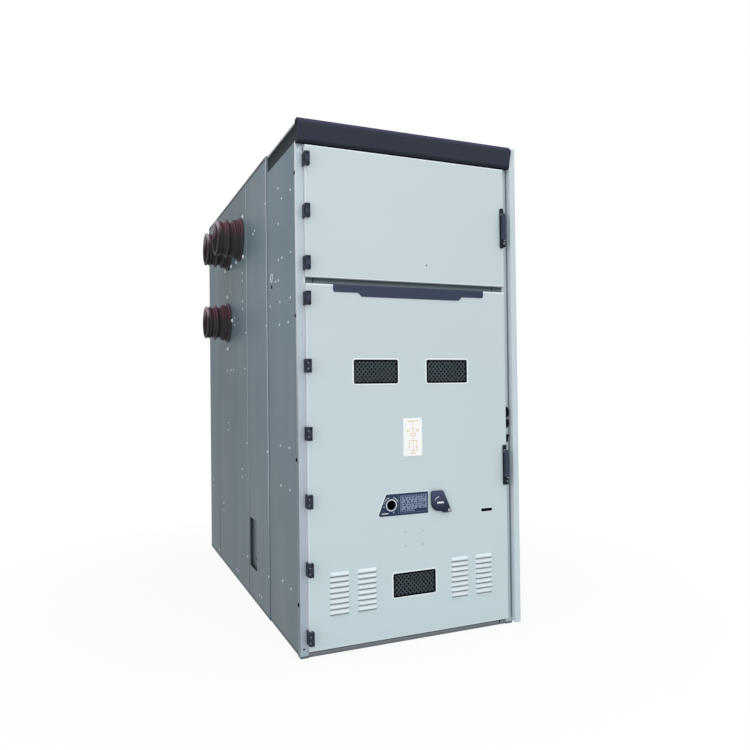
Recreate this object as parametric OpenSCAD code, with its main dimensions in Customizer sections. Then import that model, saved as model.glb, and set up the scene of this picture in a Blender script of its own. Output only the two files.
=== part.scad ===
// High voltage switchgear panel: a floor standing sheet metal cabinet with an
// instrument door over a breaker door, a dark header, three wall bushings on the
// left side and a cover panel on the right side.
// Millimetres. X runs to the right, Y to the back, Z up.
// The origin is the middle of the base on the floor.

/* [Cabinet] */
// Width over the two front posts
cabinet_w = 1200; // [1150:10:1300]
// Depth from the front posts to the rear flanges
cabinet_d = 2500; // [2400:10:2700]
// Height of the rear roof above the floor
cabinet_h = 2600; // [2560:10:2700]
// Thickness of the folded sheet
sheet_t = 2; // [1.5:0.1:2.4]
// Depth of the folded edges of a wall panel
fold_d = 25; // [20:1:28]
// Outside bend radius of a folded edge
bend_r = 4; // [3:0.1:5]
// Gap between neighbouring wall panels
panel_gap = 4; // [3:0.5:6]
// Height of the wall panels' lower edge above the floor
panel_foot = 3; // [2:0.5:6]
// How far the left panels behind the front bay stand out
side_step = 3; // [2:0.5:8]
// How much lower the roof of the front bay is
roof_step = 12; // [8:1:16]
// Depth of the folded edge of the front roof
roof_skirt = 16; // [12:1:20]

/* [Bays] */
// Depth of the front bay
front_bay_d = 575; // [540:5:620]
// Depth of the bay behind the front bay
middle_bay_d = 515; // [480:5:560]
// Depth of the bay that carries the bushings
busbar_bay_d = 1000; // [960:5:1060]
// Depth of the rearmost bay
rear_bay_d = 398; // [340:2:440]

/* [Base] */
// Width of a base rail
rail_w = 50; // [44:1:60]
// Height of a base rail
rail_h = 30; // [24:1:32]
// Wall thickness of a base rail
rail_t = 4; // [3:0.5:5]
// Diameter of a floor bolt hole
floor_hole_d = 14; // [11:0.5:18]
// Distance of the floor bolt holes from the cabinet's front and rear
floor_hole_end = 150; // [100:5:250]

/* [Front frame] */
// Width of a front post
post_w = 41; // [38:1:46]
// Depth of a front post
post_d = 45; // [40:1:55]
// Sheet thickness of posts and rails
post_t = 2.5; // [2:0.1:3]
// How far the sill stands back from the posts
sill_setback = 6; // [4:1:10]
// How far the middle rail's lower edge lies below the lower door's upper edge
mid_rail_z = 13; // [6:1:20]
// Height of the middle rail
mid_rail_h = 56; // [48:1:70]
// Height of the top rail
top_rail_h = 117; // [100:1:130]

/* [Header] */
// Height of the header's lower edge below the roof
header_drop = 120; // [115:1:130]
// How far the header's lower edge stands out from the posts
header_out_low = 30; // [28:1:34]
// How far the header's upper edge stands out from the posts
header_out_high = 56; // [46:1:66]
// Height of the bevel along the header's upper edge
header_bevel_h = 26; // [18:1:30]
// Depth of the bevel along the header's upper edge
header_bevel_d = 20; // [12:1:26]
// Length of the header's left cheek
cheek_l = 540; // [480:5:560]
// Height of the header's left cheek
cheek_h = 75; // [60:1:90]
// Thickness of the header sheet
header_t = 3; // [2.5:0.5:4]

/* [Right cover panel] */
// Thickness of the cover panel
cover_w = 35; // [30:1:40]
// How far the cover panel stands out in front of the posts
cover_out = 33; // [28:1:40]
// Height of the cover panel's lower edge
cover_foot = 12; // [6:1:20]
// How far the cover panel's return edge laps the post
cover_lap = 20; // [10:1:30]

/* [Doors] */
// Depth of a door's folded edge
door_d = 19.5; // [16:0.5:24]
// Gap between a door's back and the posts
door_gap = 5.5; // [5:0.5:8]
// Distance of a door's side edge from the cabinet's side
door_inset = 38; // [36:1:40]
// Height of the lower door's lower edge
door_foot = 35; // [34:1:40]
// Distance of the lower door's upper edge below the roof
lower_door_top = 797; // [780:1:820]
// Gap between the two doors
door_split = 29; // [20:1:32]
// Gap between the upper door and the header
door_head_gap = 6; // [5:0.5:10]

/* [Hinges] */
// Height of a hinge
hinge_h = 66; // [60:1:80]
// Distance from a door's lower edge to its lowest hinge
hinge_end = 68; // [60:1:90]
// Distance from a door's upper edge to its highest hinge
hinge_top_end = 73; // [60:1:90]
// Number of hinges on the upper door
upper_hinges = 3; // [2:1:4]
// Number of hinges on the lower door
lower_hinges = 6; // [4:1:7]
// Radius of a hinge knuckle
knuckle_r = 8.5; // [7.5:0.1:9]
// Radius of a hinge pin
pin_r = 4; // [3:0.1:5]
// Height of the door's knuckle
door_knuckle_h = 34; // [28:1:38]
// Distance of the pivot in front of the door
pivot_out = 20; // [17:0.5:22]
// Distance of the pivot in from the door's edge
pivot_side = 2; // [1:0.1:3]
// Thickness of a hinge's plate on the post
hinge_plate_t = 4.5; // [3.5:0.1:5]
// Gap between a hinge's plate and the door's edge
hinge_edge_gap = 3.5; // [3:0.1:4]
// Thickness of a hinge's leaf on the door
leaf_w = 5; // [4:0.1:7]

/* [Handles] */
// Length of a handle base
handle_l = 216; // [206:1:230]
// Width of a handle base
handle_w = 22; // [20:1:26]
// Corner radius of a handle base
handle_r = 7; // [4:0.5:9]
// Thickness of a handle base
handle_base_t = 7; // [6:0.5:10]
// Distance of a handle's middle from the door's edge
handle_inset = 15; // [15:0.5:24]
// Height of the upper handle's middle above the upper door's lower edge
upper_handle_z = 318; // [290:1:340]
// Height of the lower handle's middle
lower_handle_z = 868; // [840:1:900]
// Width of a lever
lever_w = 20; // [18:0.5:22]
// Radius of a lever's upper end
lever_end_r = 7.5; // [7:0.1:8]
// Height of the lever's pin above the handle's middle
lever_pin_z = 74; // [70:1:80]
// Distance of the lever's pin from the handle base
lever_pin_out = 11.5; // [11:0.1:13]
// Length of a lever below its pin
lever_l = 138; // [130:1:140]
// How far a lever's front swells forward below its pin
lever_swell = 6; // [4:0.5:10]
// Wall thickness of a lever
lever_t = 2; // [1.5:0.1:2.4]

/* [Windows] */
// Width of an inspection window
window_w = 240; // [200:5:280]
// Height of an inspection window
window_h = 120; // [100:5:150]
// Corner radius of an inspection window
window_r = 8; // [4:1:14]
// Distance of an upper window from the door's middle
window_x = 201; // [170:1:240]
// Distance of the upper windows' middle below the door's upper edge
upper_window_z = 428; // [380:2:470]
// Height of the middle of the lower window
lower_window_z = 296; // [270:1:310]
// Thickness of a pane
pane_t = 4; // [3:0.5:6]
// How far a pane overlaps its window
pane_lap = 10; // [6:1:14]
// Width of a mesh diamond
mesh_w = 22; // [18:1:28]
// Height of a mesh diamond
mesh_h = 19; // [16:1:24]
// Width of a mesh strand
mesh_strand = 3; // [2:0.2:4]

/* [Louvres] */
// Louvres in one group
louvre_count = 8; // [4:1:8]
// Distance between louvres
louvre_pitch = 26.2; // [24:0.2:28]
// Width of a louvre
louvre_w = 102; // [80:1:120]
// Height of a louvre hood
louvre_h = 17; // [14:0.5:18]
// How far a louvre hood stands out
louvre_out = 8; // [6:0.5:9]
// Height of the lowest louvre's lip
louvre_z = 201; // [180:1:230]
// Distance of the inner groups from the door's middle
louvre_inner_x = 262; // [250:1:280]
// Distance of the outer groups from the door's middle
louvre_outer_x = 408; // [395:1:420]

/* [Door furniture] */
// Length of the name strip
strip_l = 850; // [700:10:900]
// Height of the name strip at its ends
strip_end_h = 33; // [28:1:38]
// Height of the name strip in the middle
strip_mid_h = 52; // [44:1:60]
// Length of the name strip's deeper middle
strip_mid_l = 550; // [450:10:600]
// Thickness of the name strip and the control plate
plate_t = 3; // [2:0.5:4]
// Left end of the control plate's lower edge from the door's middle
control_left = -201; // [-220:1:-190]
// Right end of the control plate from the door's middle
control_right = 80; // [70:1:80]
// How far the control plate's left end leans in
control_lean = 46; // [30:1:50]
// Height of the control plate's lower edge
control_z = 648; // [630:1:660]
// Height of the control plate
control_h = 110; // [100:1:120]
// Distance of the crank hole from the door's middle
crank_x = -129; // [-132:1:-120]
// Radius of the crank hole
crank_r = 22.5; // [20:0.5:24]
// Radius of the crank guide's flange
crank_flange_r = 30; // [29:0.5:34]
// Length of the slot trim
slot_l = 66; // [56:1:76]
// Height of the slot trim
slot_h = 14; // [10:1:16]
// Distance of the slot trim from the door's middle
slot_x = 431; // [420:1:440]
// Height of the slot trim's middle
slot_z = 635; // [625:1:650]

/* [Trip cover] */
// Distance of the trip cover's pivot from the door's middle
trip_x = 140; // [138:1:150]
// Height of the trip cover's pivot above the control plate's lower edge
trip_z = 50; // [46:1:56]
// Radius of the trip cover's round part
trip_r = 45; // [42:1:46]
// Radius of the raised disc on the trip cover
trip_disc_r = 38; // [30:1:40]
// How far the raised disc stands out
trip_disc_t = 4; // [2:0.5:6]
// How far the trip cover's tail reaches to the right of the pivot
trip_tail_x = 68; // [60:1:74]
// How far the trip cover's tail reaches below the pivot
trip_tail_z = 54; // [50:1:58]
// Radius of the padlock hole in the tail
trip_hole_r = 4; // [3:0.5:5]
// Gap between the trip cover and the door
trip_gap = 5; // [5:0.5:7]
// Thickness of the trip cover
trip_t = 10; // [8:0.5:12]

/* [Latch keepers] */
// Height of the lower keeper above the lower handle's middle
keeper_low_z = 121; // [110:1:130]
// Height of the middle keeper above the lower handle's middle
keeper_mid_z = 198; // [190:1:205]
// Height of the upper keeper above the lower handle's middle
keeper_high_z = 252; // [248:1:262]
// Length of the lower keeper
keeper_low_l = 40; // [30:1:44]
// Length of the middle keeper
keeper_mid_l = 51; // [44:1:52]
// Length of the upper keeper
keeper_high_l = 61; // [50:1:70]
// Width of a keeper
keeper_w = 15; // [12:0.5:16]
// How far a keeper stands out from the post
keeper_out = 14; // [10:0.5:16]
// Thickness of the hooked keeper's tip
hook_t = 6; // [4:0.5:8]
// Thickness of the hooked keeper where the tip meets the stem
hook_root_t = 10; // [8:0.5:14]

/* [Bushings] */
// Length of a bushing outside the wall
bushing_l = 160; // [150:1:190]
// Length of a bushing inside the wall
bushing_in = 70; // [50:1:100]
// Radius of a bushing's flange
bushing_flange_r = 139; // [130:1:142]
// Thickness of a bushing's flange
bushing_flange_t = 10; // [8:0.5:12]
// Radius of the grooved collar in front of the flange
bushing_collar_r = 126; // [118:0.5:128]
// Distance of the collar's front from the wall
bushing_collar_l = 46; // [40:1:52]
// Number of fine grooves round the collar
bushing_grooves = 4; // [2:1:6]
// Depth of a fine groove
bushing_groove_d = 2; // [1:0.2:3]
// Radius of the shed
bushing_shed_r = 124; // [112:0.5:126]
// Radius at the foot of the shed
bushing_foot_r = 106.5; // [105:0.5:110]
// Radius of the waist between collar and shed
bushing_waist_r = 104.5; // [104:0.5:110]
// Radius of the waist in front of the shed
bushing_valley_r = 103.5; // [102:0.5:106]
// Radius of the free end
bushing_tip_r = 112; // [106:0.5:114]
// Radius of a bushing's bore
bushing_bore_r = 92; // [80:1:96]
// Radius of a bushing's neck inside the wall
bushing_neck_r = 112; // [106:1:116]
// Distance of the front bushing behind the front edge of its panel
bushing_front_y = 199; // [180:1:220]
// Distance of the rear upper bushing behind the front edge of the panel
bushing_rear_y = 592; // [560:1:620]
// Distance of the lower bushing behind the front edge of the panel
bushing_low_y = 624; // [590:1:660]
// Distance of the upper bushings below the roof
bushing_high_z = 331; // [300:1:360]
// Distance of the lower bushing below the upper ones
bushing_low_z = 510; // [480:1:540]

/* [Side opening] */
// Distance of the side opening behind the front posts
side_open_y = 885; // [860:1:900]
// Length of the side opening
side_open_l = 183; // [150:1:190]
// Height of the side opening's lower edge
side_open_z = 197; // [180:1:220]
// Height of the side opening
side_open_h = 300; // [260:1:320]

/* [Hidden] */
$fn = 96;
eps = 1;
run_gap = 0.3;
half_w = cabinet_w / 2;
front = -cabinet_d / 2;
rear = cabinet_d / 2;
proud = half_w + side_step;
door_back = front - door_gap;
door_face = door_back - door_d;
door_half = half_w - door_inset;
front_roof = cabinet_h - roof_step;
front_wall_top = front_roof - roof_skirt;
roof_plate_t = 2 * sheet_t;
wall_top = cabinet_h - roof_plate_t;
floor_top = rail_h + sheet_t;
bay_spare = cabinet_d - front_bay_d - middle_bay_d - busbar_bay_d - rear_bay_d - 3 * panel_gap;
busbar_stretch = 1 + bay_spare / (busbar_bay_d + rear_bay_d);
bay1 = front + front_bay_d;
bay2 = bay1 + panel_gap + middle_bay_d;
bay3 = bay2 + panel_gap + busbar_bay_d * busbar_stretch;
wall1_start = front + post_d + sheet_t;
header_low = cabinet_h - header_drop;
header_top = cabinet_h - roof_step / 2;
lower_top = cabinet_h - lower_door_top;
upper_door_foot = lower_top + door_split;
upper_door_top = header_low - door_head_gap;
mid_rail_low = lower_top - mid_rail_z;
pivot_x = -door_half + pivot_side;
pivot_y = door_face - pivot_out;
post_gap = 3;
hinge_plate_right = -pivot_side - hinge_edge_gap;
knuckle_gap = 1;
leaf_start = knuckle_r + knuckle_gap;
swing_room = 4.5;
hub_r = 10;
hub_t = 2.5;
spigot_r = 5;
spigot_l = 5;
ear_w = 10;
ear_r = 4;
lever_pin_r = 2.2;
lever_slot_w = ear_w + 2;
lever_back = 5;
lever_crown = 0.45;
lever_drop = 1.5;
lever_points = 24;
lever_lock_gap = 6;
lock_w = handle_w - 3;
lock_margin = 3;
lock_out = 22;
lock_chamfer = 7;
handle_x = door_half - handle_inset;
upper_handle_mid = upper_door_foot + upper_handle_z;
crank_neck_r = crank_r + 4;
crank_z = control_z + control_h / 2;
crank_flange_t = 3;
plate_corner = 10;
plate_small_corner = 4;
trip_pivot_z = control_z + trip_z;
trip_pin_r = 4;
trip_boss_r = 8;
trip_front_wall = 2;
trip_hole_in = 11;
louvre_hood_r = (louvre_h * louvre_h + louvre_out * louvre_out) / (2 * louvre_out);
hood_taper = 7;
mesh_t = 2;
keeper_x = door_half + 12;
bushing_panel = bay2 + panel_gap;
bushing_high = cabinet_h - bushing_high_z;
bushing_low = bushing_high - bushing_low_z;
bushing_run = bushing_l - bushing_collar_l;
bushing_rim = 4;

// Radii along a bushing, as shares of the run from the collar to the free end
bushing_waves = [
  [0, bushing_collar_r], [0.14, bushing_waist_r], [0.29, bushing_foot_r], [0.385, bushing_shed_r],
  [0.48, bushing_foot_r], [0.66, bushing_valley_r], [0.75, bushing_tip_r], [0.84, bushing_valley_r],
  [0.93, bushing_tip_r]
];

// Middles of the three inspection windows
window_places = [
  [-window_x, lower_top - upper_window_z], [window_x, lower_top - upper_window_z], [0, lower_window_z]
];

// Middles of the louvre groups
louvre_places = [-louvre_outer_x, -louvre_inner_x, louvre_inner_x, louvre_outer_x];

// Box between two corners
module box(low, high) {
  translate(low) cube(high - low);
}

// Profile of a folded sheet: flat front at y = 0 with two bent corners
module bent_profile(w, d, r) {
  translate([-w / 2 + r, 0]) square([w - 2 * r, d]);
  translate([-w / 2, r]) square([w, d - r]);
  for (side = [-1, 1]) translate([side * (w / 2 - r), r]) circle(r);
}

// Block with bent edges round its lower face
module bent_block(w, h, d, r) {
  intersection() {
    translate([0, h / 2, 0]) rotate([90, 0, 0]) linear_extrude(h) bent_profile(w, d, r);
    translate([-w / 2, 0, 0]) rotate([90, 0, 90]) linear_extrude(w) bent_profile(h, d, r);
  }
}

// Folded sheet pan, face down, edges up
module pan(w, h, d) {
  difference() {
    bent_block(w, h, d, bend_r);
    translate([0, 0, sheet_t])
      bent_block(w - 2 * sheet_t, h - 2 * sheet_t, d, bend_r - sheet_t);
  }
}

// Wall pan facing left, from y0 to y1 and z0 to z1
module left_pan(x, y0, y1, z0, z1) {
  translate([x, (y0 + y1) / 2, (z0 + z1) / 2]) rotate([0, 90, 0]) pan(z1 - z0, y1 - y0, fold_d);
}

// Wall pan facing right
module right_pan(x, y0, y1, z0, z1, d) {
  translate([x, (y0 + y1) / 2, (z0 + z1) / 2]) rotate([0, -90, 0]) pan(z1 - z0, y1 - y0, d);
}

// Wall pan facing the front
module front_pan(y, x0, x1, z0, z1, d) {
  translate([(x0 + x1) / 2, y, (z0 + z1) / 2]) rotate([-90, 0, 0]) pan(x1 - x0, z1 - z0, d);
}

// Wall pan facing the back
module rear_pan(y, x0, x1, z0, z1, d) {
  translate([(x0 + x1) / 2, y, (z0 + z1) / 2]) rotate([90, 0, 0]) pan(x1 - x0, z1 - z0, d);
}

// Flat area inside a bay, reaching the wall sheets between the folds
module bay_area(y0, y1, left) {
  translate([-half_w + fold_d, y0]) square([cabinet_w - 2 * fold_d, y1 - y0]);
  translate([-left + sheet_t, y0 + bend_r + run_gap])
    square([left + half_w - 2 * sheet_t, y1 - y0 - 2 * (bend_r + run_gap)]);
}

// Upright channel open to the back
module post_section(w, d) {
  difference() {
    square([w, d]);
    translate([post_t, post_t]) square([w - 2 * post_t, d]);
  }
}

// Channel lying along X, open to the back
module cross_channel(x0, x1, z0, z1, y0, y1) {
  difference() {
    box([x0, y0, z0], [x1, y1, z1]);
    box([x0 - eps, y0 + post_t, z0 + post_t], [x1 + eps, y1 + eps, z1 - post_t]);
  }
}

// Channel open to the top, lying along Y
module rail(x0, y0, y1) {
  difference() {
    box([x0, y0, 0], [x0 + rail_w, y1, rail_h]);
    box([x0 + rail_t, y0 - eps, rail_t], [x0 + rail_w - rail_t, y1 + eps, rail_h + eps]);
  }
}

module base_side_rails() {
  color("DimGray")
    for (side = [-1, 1])
      difference() {
        mirror([side > 0 ? 1 : 0, 0, 0]) rail(-half_w + fold_d, front + post_d, rear - fold_d);
        for (end = [-1, 1])
          translate([side * (half_w - fold_d - rail_w / 2), end * (rear - floor_hole_end), -eps])
            cylinder(d = floor_hole_d, h = rail_t + 2 * eps);
      }
}

module base_cross_rails() {
  x_in = half_w - fold_d - rail_w;
  color("DimGray")
    for (y = [front + post_d, -rail_w / 2, rear - fold_d - rail_w])
      difference() {
        box([-x_in, y, 0], [x_in, y + rail_w, rail_h]);
        box([-x_in - eps, y + rail_t, rail_t], [x_in + eps, y + rail_w - rail_t, rail_h + eps]);
      }
}

module floor_plate() {
  color("Silver")
    translate([0, 0, rail_h])
      linear_extrude(sheet_t) {
        translate([-half_w + post_w, front + sill_setback])
          square([cabinet_w - 2 * post_w, post_d]);
        translate([-half_w + fold_d, wall1_start])
          square([cabinet_w - 2 * fold_d, rear - sheet_t - wall1_start]);
        bay_area(wall1_start, bay1, half_w);
        bay_area(bay1 + panel_gap, bay2, proud);
        bay_area(bay2 + panel_gap, bay3, proud);
        bay_area(bay3 + panel_gap, rear - sheet_t, proud);
      }
}

module front_left_post() {
  color("Gainsboro")
    translate([-half_w, front, 0]) linear_extrude(front_wall_top) post_section(post_w, post_d);
}

module front_right_post() {
  color("Gainsboro")
    translate([half_w - post_w, front, 0])
      linear_extrude(front_wall_top) post_section(post_w, post_d);
}

module front_sill() {
  color("Gray")
    cross_channel(-half_w + post_w, half_w - post_w, 0, rail_h, front + sill_setback, front + post_d);
}

module front_mid_rail() {
  color("DarkSeaGreen")
    cross_channel(-half_w + post_w, half_w - post_w, mid_rail_low, mid_rail_low + mid_rail_h,
      front, front + post_d);
}

module front_top_rail() {
  color("Gainsboro")
    cross_channel(-half_w + post_w, half_w - post_w, front_wall_top - top_rail_h, front_wall_top,
      front, front + post_d);
}

module left_front_panel() {
  color("SlateGray")
    left_pan(-half_w, wall1_start, bay1, panel_foot, front_wall_top);
}

module left_middle_panel() {
  color("SlateGray")
    difference() {
      left_pan(-proud, bay1 + panel_gap, bay2, panel_foot, wall_top);
      box([-proud - eps, front + side_open_y, side_open_z],
        [-proud + sheet_t + eps, front + side_open_y + side_open_l, side_open_z + side_open_h]);
    }
}

// Puts a bushing's piece in the left wall, y behind the front edge of its panel
module on_bushing_wall(y, z) {
  translate([-proud, bushing_panel + y * busbar_stretch, z]) rotate([0, -90, 0]) children();
}

// Hole in the wall for a bushing's neck
module bushing_hole(y, z) {
  on_bushing_wall(y, z)
    translate([0, 0, -sheet_t - eps]) cylinder(r = bushing_neck_r + run_gap, h = sheet_t + 2 * eps);
}

module left_busbar_panel() {
  color("SlateGray")
    difference() {
      left_pan(-proud, bushing_panel, bay3, panel_foot, wall_top);
      bushing_hole(bushing_front_y, bushing_high);
      bushing_hole(bushing_rear_y, bushing_high);
      bushing_hole(bushing_low_y, bushing_low);
    }
}

module left_rear_panel() {
  color("SlateGray")
    left_pan(-proud, bay3 + panel_gap, rear, panel_foot, wall_top);
}

module right_side_panels() {
  color("SlateGray") {
    right_pan(half_w, wall1_start, bay1, panel_foot, front_wall_top, fold_d);
    right_pan(half_w, bay1 + panel_gap, bay2, panel_foot, wall_top, fold_d);
    right_pan(half_w, bay2 + panel_gap, bay3, panel_foot, wall_top, fold_d);
    right_pan(half_w, bay3 + panel_gap, rear, panel_foot, wall_top, fold_d);
  }
}

module right_cover_panels() {
  top = header_top - panel_gap;
  color("Gainsboro") {
    right_pan(half_w + cover_w, front - cover_out, -panel_gap / 2, cover_foot, top, cover_w);
    box([half_w, front - cover_out, cover_foot], [half_w + sheet_t, front + cover_lap, top]);
    right_pan(half_w + cover_w, panel_gap / 2, rear, cover_foot, top, cover_w);
  }
}

// Rear roof plate with its raised relief plate
module roof_plate(y0, y1) {
  box([-proud, y0, wall_top], [half_w, y1, wall_top + sheet_t]);
  box([-proud + 2 * fold_d, y0 + 2 * fold_d, wall_top], [half_w - 2 * fold_d, y1 - 2 * fold_d, cabinet_h]);
}

module roof_panels() {
  color("Silver") {
    translate([0, (front + bay1) / 2, front_roof])
      rotate([180, 0, 0]) pan(cabinet_w, front_bay_d, roof_skirt);
    roof_plate(bay1 + panel_gap, bay2);
    roof_plate(bay2 + panel_gap, bay3);
    roof_plate(bay3 + panel_gap, rear);
  }
}

// Outline of the header seen from its end, y forward of the posts, z up
function header_outline(t) = [
  [-t, header_low + t],
  [-header_out_low + t, header_low + t],
  [-header_out_high + t, header_top - header_bevel_h],
  [-header_out_high + header_bevel_d + t / 2, header_top - t],
  [-t, header_top - t]
];

module header_lintel() {
  right_end = half_w - post_gap;
  color("MidnightBlue")
    difference() {
      translate([-half_w - header_t, front, 0])
        rotate([90, 0, 90]) linear_extrude(right_end + half_w + header_t) polygon(header_outline(0));
      translate([-half_w, front, 0])
        rotate([90, 0, 90]) linear_extrude(right_end + half_w - header_t)
          polygon(concat(header_outline(header_t),
            [[eps, header_top - header_t], [eps, header_low + header_t]]));
    }
}

module header_cheek() {
  color("MidnightBlue")
    box([-half_w - header_t, front, front_wall_top - cheek_h],
      [-half_w, front + cheek_l, front_wall_top]);
}

module rear_upper_cover() {
  color("SlateGray")
    rear_pan(rear + door_d, -half_w, half_w, cabinet_h / 2 + panel_gap / 2, wall_top, door_d);
}

module rear_lower_cover() {
  color("SlateGray")
    rear_pan(rear + door_d, -half_w, half_w, cover_foot, cabinet_h / 2 - panel_gap / 2, door_d);
}

module breaker_partition() {
  color("Silver")
    box([-proud + sheet_t, bay2, floor_top], [half_w - sheet_t, bay2 + sheet_t, wall_top]);
}

module instrument_box_floor() {
  color("Silver")
    translate([0, 0, mid_rail_low + mid_rail_h / 2])
      linear_extrude(sheet_t) {
        translate([-half_w + fold_d, front + post_d])
          square([cabinet_w - 2 * fold_d, front_bay_d - post_d]);
        bay_area(wall1_start, bay1, half_w);
      }
}

module instrument_box_back() {
  color("Silver")
    box([-half_w, bay1, mid_rail_low + mid_rail_h / 2], [half_w, bay1 + sheet_t, front_roof]);
}

// Smooth step between two points of a bushing's outline, from a towards b
function bushing_wave(a, b, steps = 6) = [
  for (i = [0 : steps - 1])
    [a[1] + (b[1] - a[1]) * (1 - cos(180 * i / steps)) / 2,
      bushing_collar_l + bushing_run * (a[0] + (b[0] - a[0]) * i / steps)]
];

// Outline of the collar with its fine grooves
function bushing_collar(steps = 8) =
  let (start = bushing_flange_t + bushing_rim, count = bushing_grooves * steps)
  [for (i = [0 : count - 1])
    [bushing_collar_r - bushing_groove_d * (1 - cos(360 * i / steps)) / 2,
      start + (bushing_collar_l - start) * i / count]];

// Wall bushing with its axis along X, free end to the left
module bushing(y, z) {
  steps = [0 : len(bushing_waves) - 2];
  waves = [for (i = steps) each bushing_wave(bushing_waves[i], bushing_waves[i + 1])];
  color("Sienna")
    on_bushing_wall(y, z)
      rotate_extrude()
        polygon(concat(
          [[bushing_bore_r, -bushing_in], [bushing_neck_r, -bushing_in], [bushing_neck_r, 0],
            [bushing_flange_r, 0], [bushing_flange_r, bushing_flange_t - bushing_rim / 2],
            [bushing_flange_r - bushing_rim / 2, bushing_flange_t],
            [bushing_collar_r + bushing_rim / 2, bushing_flange_t]],
          bushing_collar(),
          waves,
          [[bushing_tip_r, bushing_l - bushing_rim],
            [bushing_tip_r - bushing_rim / 3, bushing_l - bushing_rim / 3],
            [bushing_tip_r - bushing_rim, bushing_l], [bushing_bore_r, bushing_l]]));
}

module bushing_upper_front() {
  bushing(bushing_front_y, bushing_high);
}

module bushing_upper_rear() {
  bushing(bushing_rear_y, bushing_high);
}

module bushing_lower() {
  bushing(bushing_low_y, bushing_low);
}

// Height of hinge number i of count between two door ends
function hinge_at(i, count, low, high) =
  low + hinge_end + (high - low - hinge_end - hinge_top_end) * i / (count - 1);

// Post side of a hinge: plate, two arms with knuckles, and the pin
module hinge_post() {
  knuckle_h = (hinge_h - door_knuckle_h) / 2 - knuckle_gap;
  depth = pivot_out + door_d + door_gap;
  plate_left = hinge_plate_right - hinge_plate_t;
  for (z = [-hinge_h / 2, hinge_h / 2 - knuckle_h]) {
    translate([0, 0, z]) cylinder(r = knuckle_r, h = knuckle_h);
    box([plate_left, 0, z], [hinge_plate_right, depth, z + knuckle_h]);
  }
  box([plate_left, knuckle_r + swing_room, -hinge_h / 2], [hinge_plate_right, depth, hinge_h / 2]);
  translate([0, 0, -hinge_h / 2]) cylinder(r = pin_r, h = hinge_h);
}

// Door side of a hinge: square fronted knuckle and leaf
module hinge_leaf() {
  difference() {
    union() {
      translate([0, 0, -door_knuckle_h / 2]) cylinder(r = knuckle_r, h = door_knuckle_h);
      box([-knuckle_r, -knuckle_r, -door_knuckle_h / 2], [leaf_start + eps, 0, door_knuckle_h / 2]);
      box([0, -knuckle_r, -door_knuckle_h / 2], [leaf_start + eps, knuckle_r, door_knuckle_h / 2]);
      box([leaf_start, -knuckle_r, -hinge_h / 2], [leaf_start + leaf_w, pivot_out, hinge_h / 2]);
    }
    translate([0, 0, -hinge_h / 2]) cylinder(r = pin_r + run_gap, h = hinge_h);
  }
}

module upper_hinge_posts() {
  color("MidnightBlue")
    for (i = [0 : upper_hinges - 1])
      translate([pivot_x, pivot_y, hinge_at(i, upper_hinges, upper_door_foot, upper_door_top)])
        hinge_post();
}

module lower_hinge_posts() {
  color("MidnightBlue")
    for (i = [0 : lower_hinges - 1])
      translate([pivot_x, pivot_y, hinge_at(i, lower_hinges, door_foot, lower_top)])
        hinge_post();
}

module upper_hinge_leaves() {
  color("MidnightBlue")
    for (i = [0 : upper_hinges - 1])
      translate([pivot_x, pivot_y, hinge_at(i, upper_hinges, upper_door_foot, upper_door_top)])
        hinge_leaf();
}

module lower_hinge_leaves() {
  color("MidnightBlue")
    for (i = [0 : lower_hinges - 1])
      translate([pivot_x, pivot_y, hinge_at(i, lower_hinges, door_foot, lower_top)])
        hinge_leaf();
}

// Round backed keeper on the right post, from z0 upwards
module round_keeper(z0, l) {
  r = (l * l / 4 + keeper_w * keeper_w) / (2 * keeper_w);
  translate([keeper_x, front, lower_handle_z + z0 + l / 2]) rotate([90, 0, 0])
    linear_extrude(keeper_out)
      intersection() {
        translate([keeper_w - r, 0]) circle(r);
        translate([0, -l / 2]) square([keeper_w, l]);
      }
}

// Hooked keeper on the right post, from z0 upwards
module hooked_keeper(z0, l) {
  translate([keeper_x, front, lower_handle_z + z0]) rotate([90, 0, 0])
    linear_extrude(keeper_out)
      polygon([[0, 0], [keeper_w / 3, 0], [keeper_w / 2, l - hook_root_t], [keeper_w, l - hook_t],
        [keeper_w, l], [0, l]]);
}

module latch_keepers() {
  color("Black") {
    hooked_keeper(keeper_low_z, keeper_low_l);
    round_keeper(keeper_mid_z, keeper_mid_l);
    round_keeper(keeper_high_z, keeper_high_l);
  }
}

module upper_door() {
  color("LightGray")
    front_pan(door_face, -door_half, door_half, upper_door_foot, upper_door_top, door_d);
}

// Unit vector along v
function along(v) = v / norm(v);

// Points of the round that replaces corner b between its neighbours a and c
function corner_round(a, b, c, r, steps = 6) =
  let (u = along(a - b), v = along(c - b), half = acos(u * v) / 2)
  let (middle = b + along(u + v) * r / sin(half), start = b + u * r / tan(half), end = b + v * r / tan(half))
  let (from = atan2(start[1] - middle[1], start[0] - middle[0]))
  let (to = atan2(end[1] - middle[1], end[0] - middle[0]), turn = (to - from + 540) % 360 - 180)
  [for (i = [0 : steps]) middle + r * [cos(from + turn * i / steps), sin(from + turn * i / steps)]];

// Outline with each corner rounded by the radius in the same place of radii, 0 for a sharp one
function rounded_outline(points, radii) =
  let (n = len(points))
  [for (i = [0 : n - 1])
    each radii[i] == 0 ? [points[i]]
      : corner_round(points[(i + n - 1) % n], points[i], points[(i + 1) % n], radii[i])];

// Rounded rectangle about the origin
module rounded_area(w, h, r) {
  square([w - 2 * r, h], center = true);
  square([w, h - 2 * r], center = true);
  for (x = [-1, 1], y = [-1, 1]) translate([x * (w / 2 - r), y * (h / 2 - r)]) circle(r);
}

// Stands a flat shape upright at the door's face, drawn x right and y up
module on_door(out, x, z) {
  translate([x, door_face - out, z]) rotate([90, 0, 0]) children();
}

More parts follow.
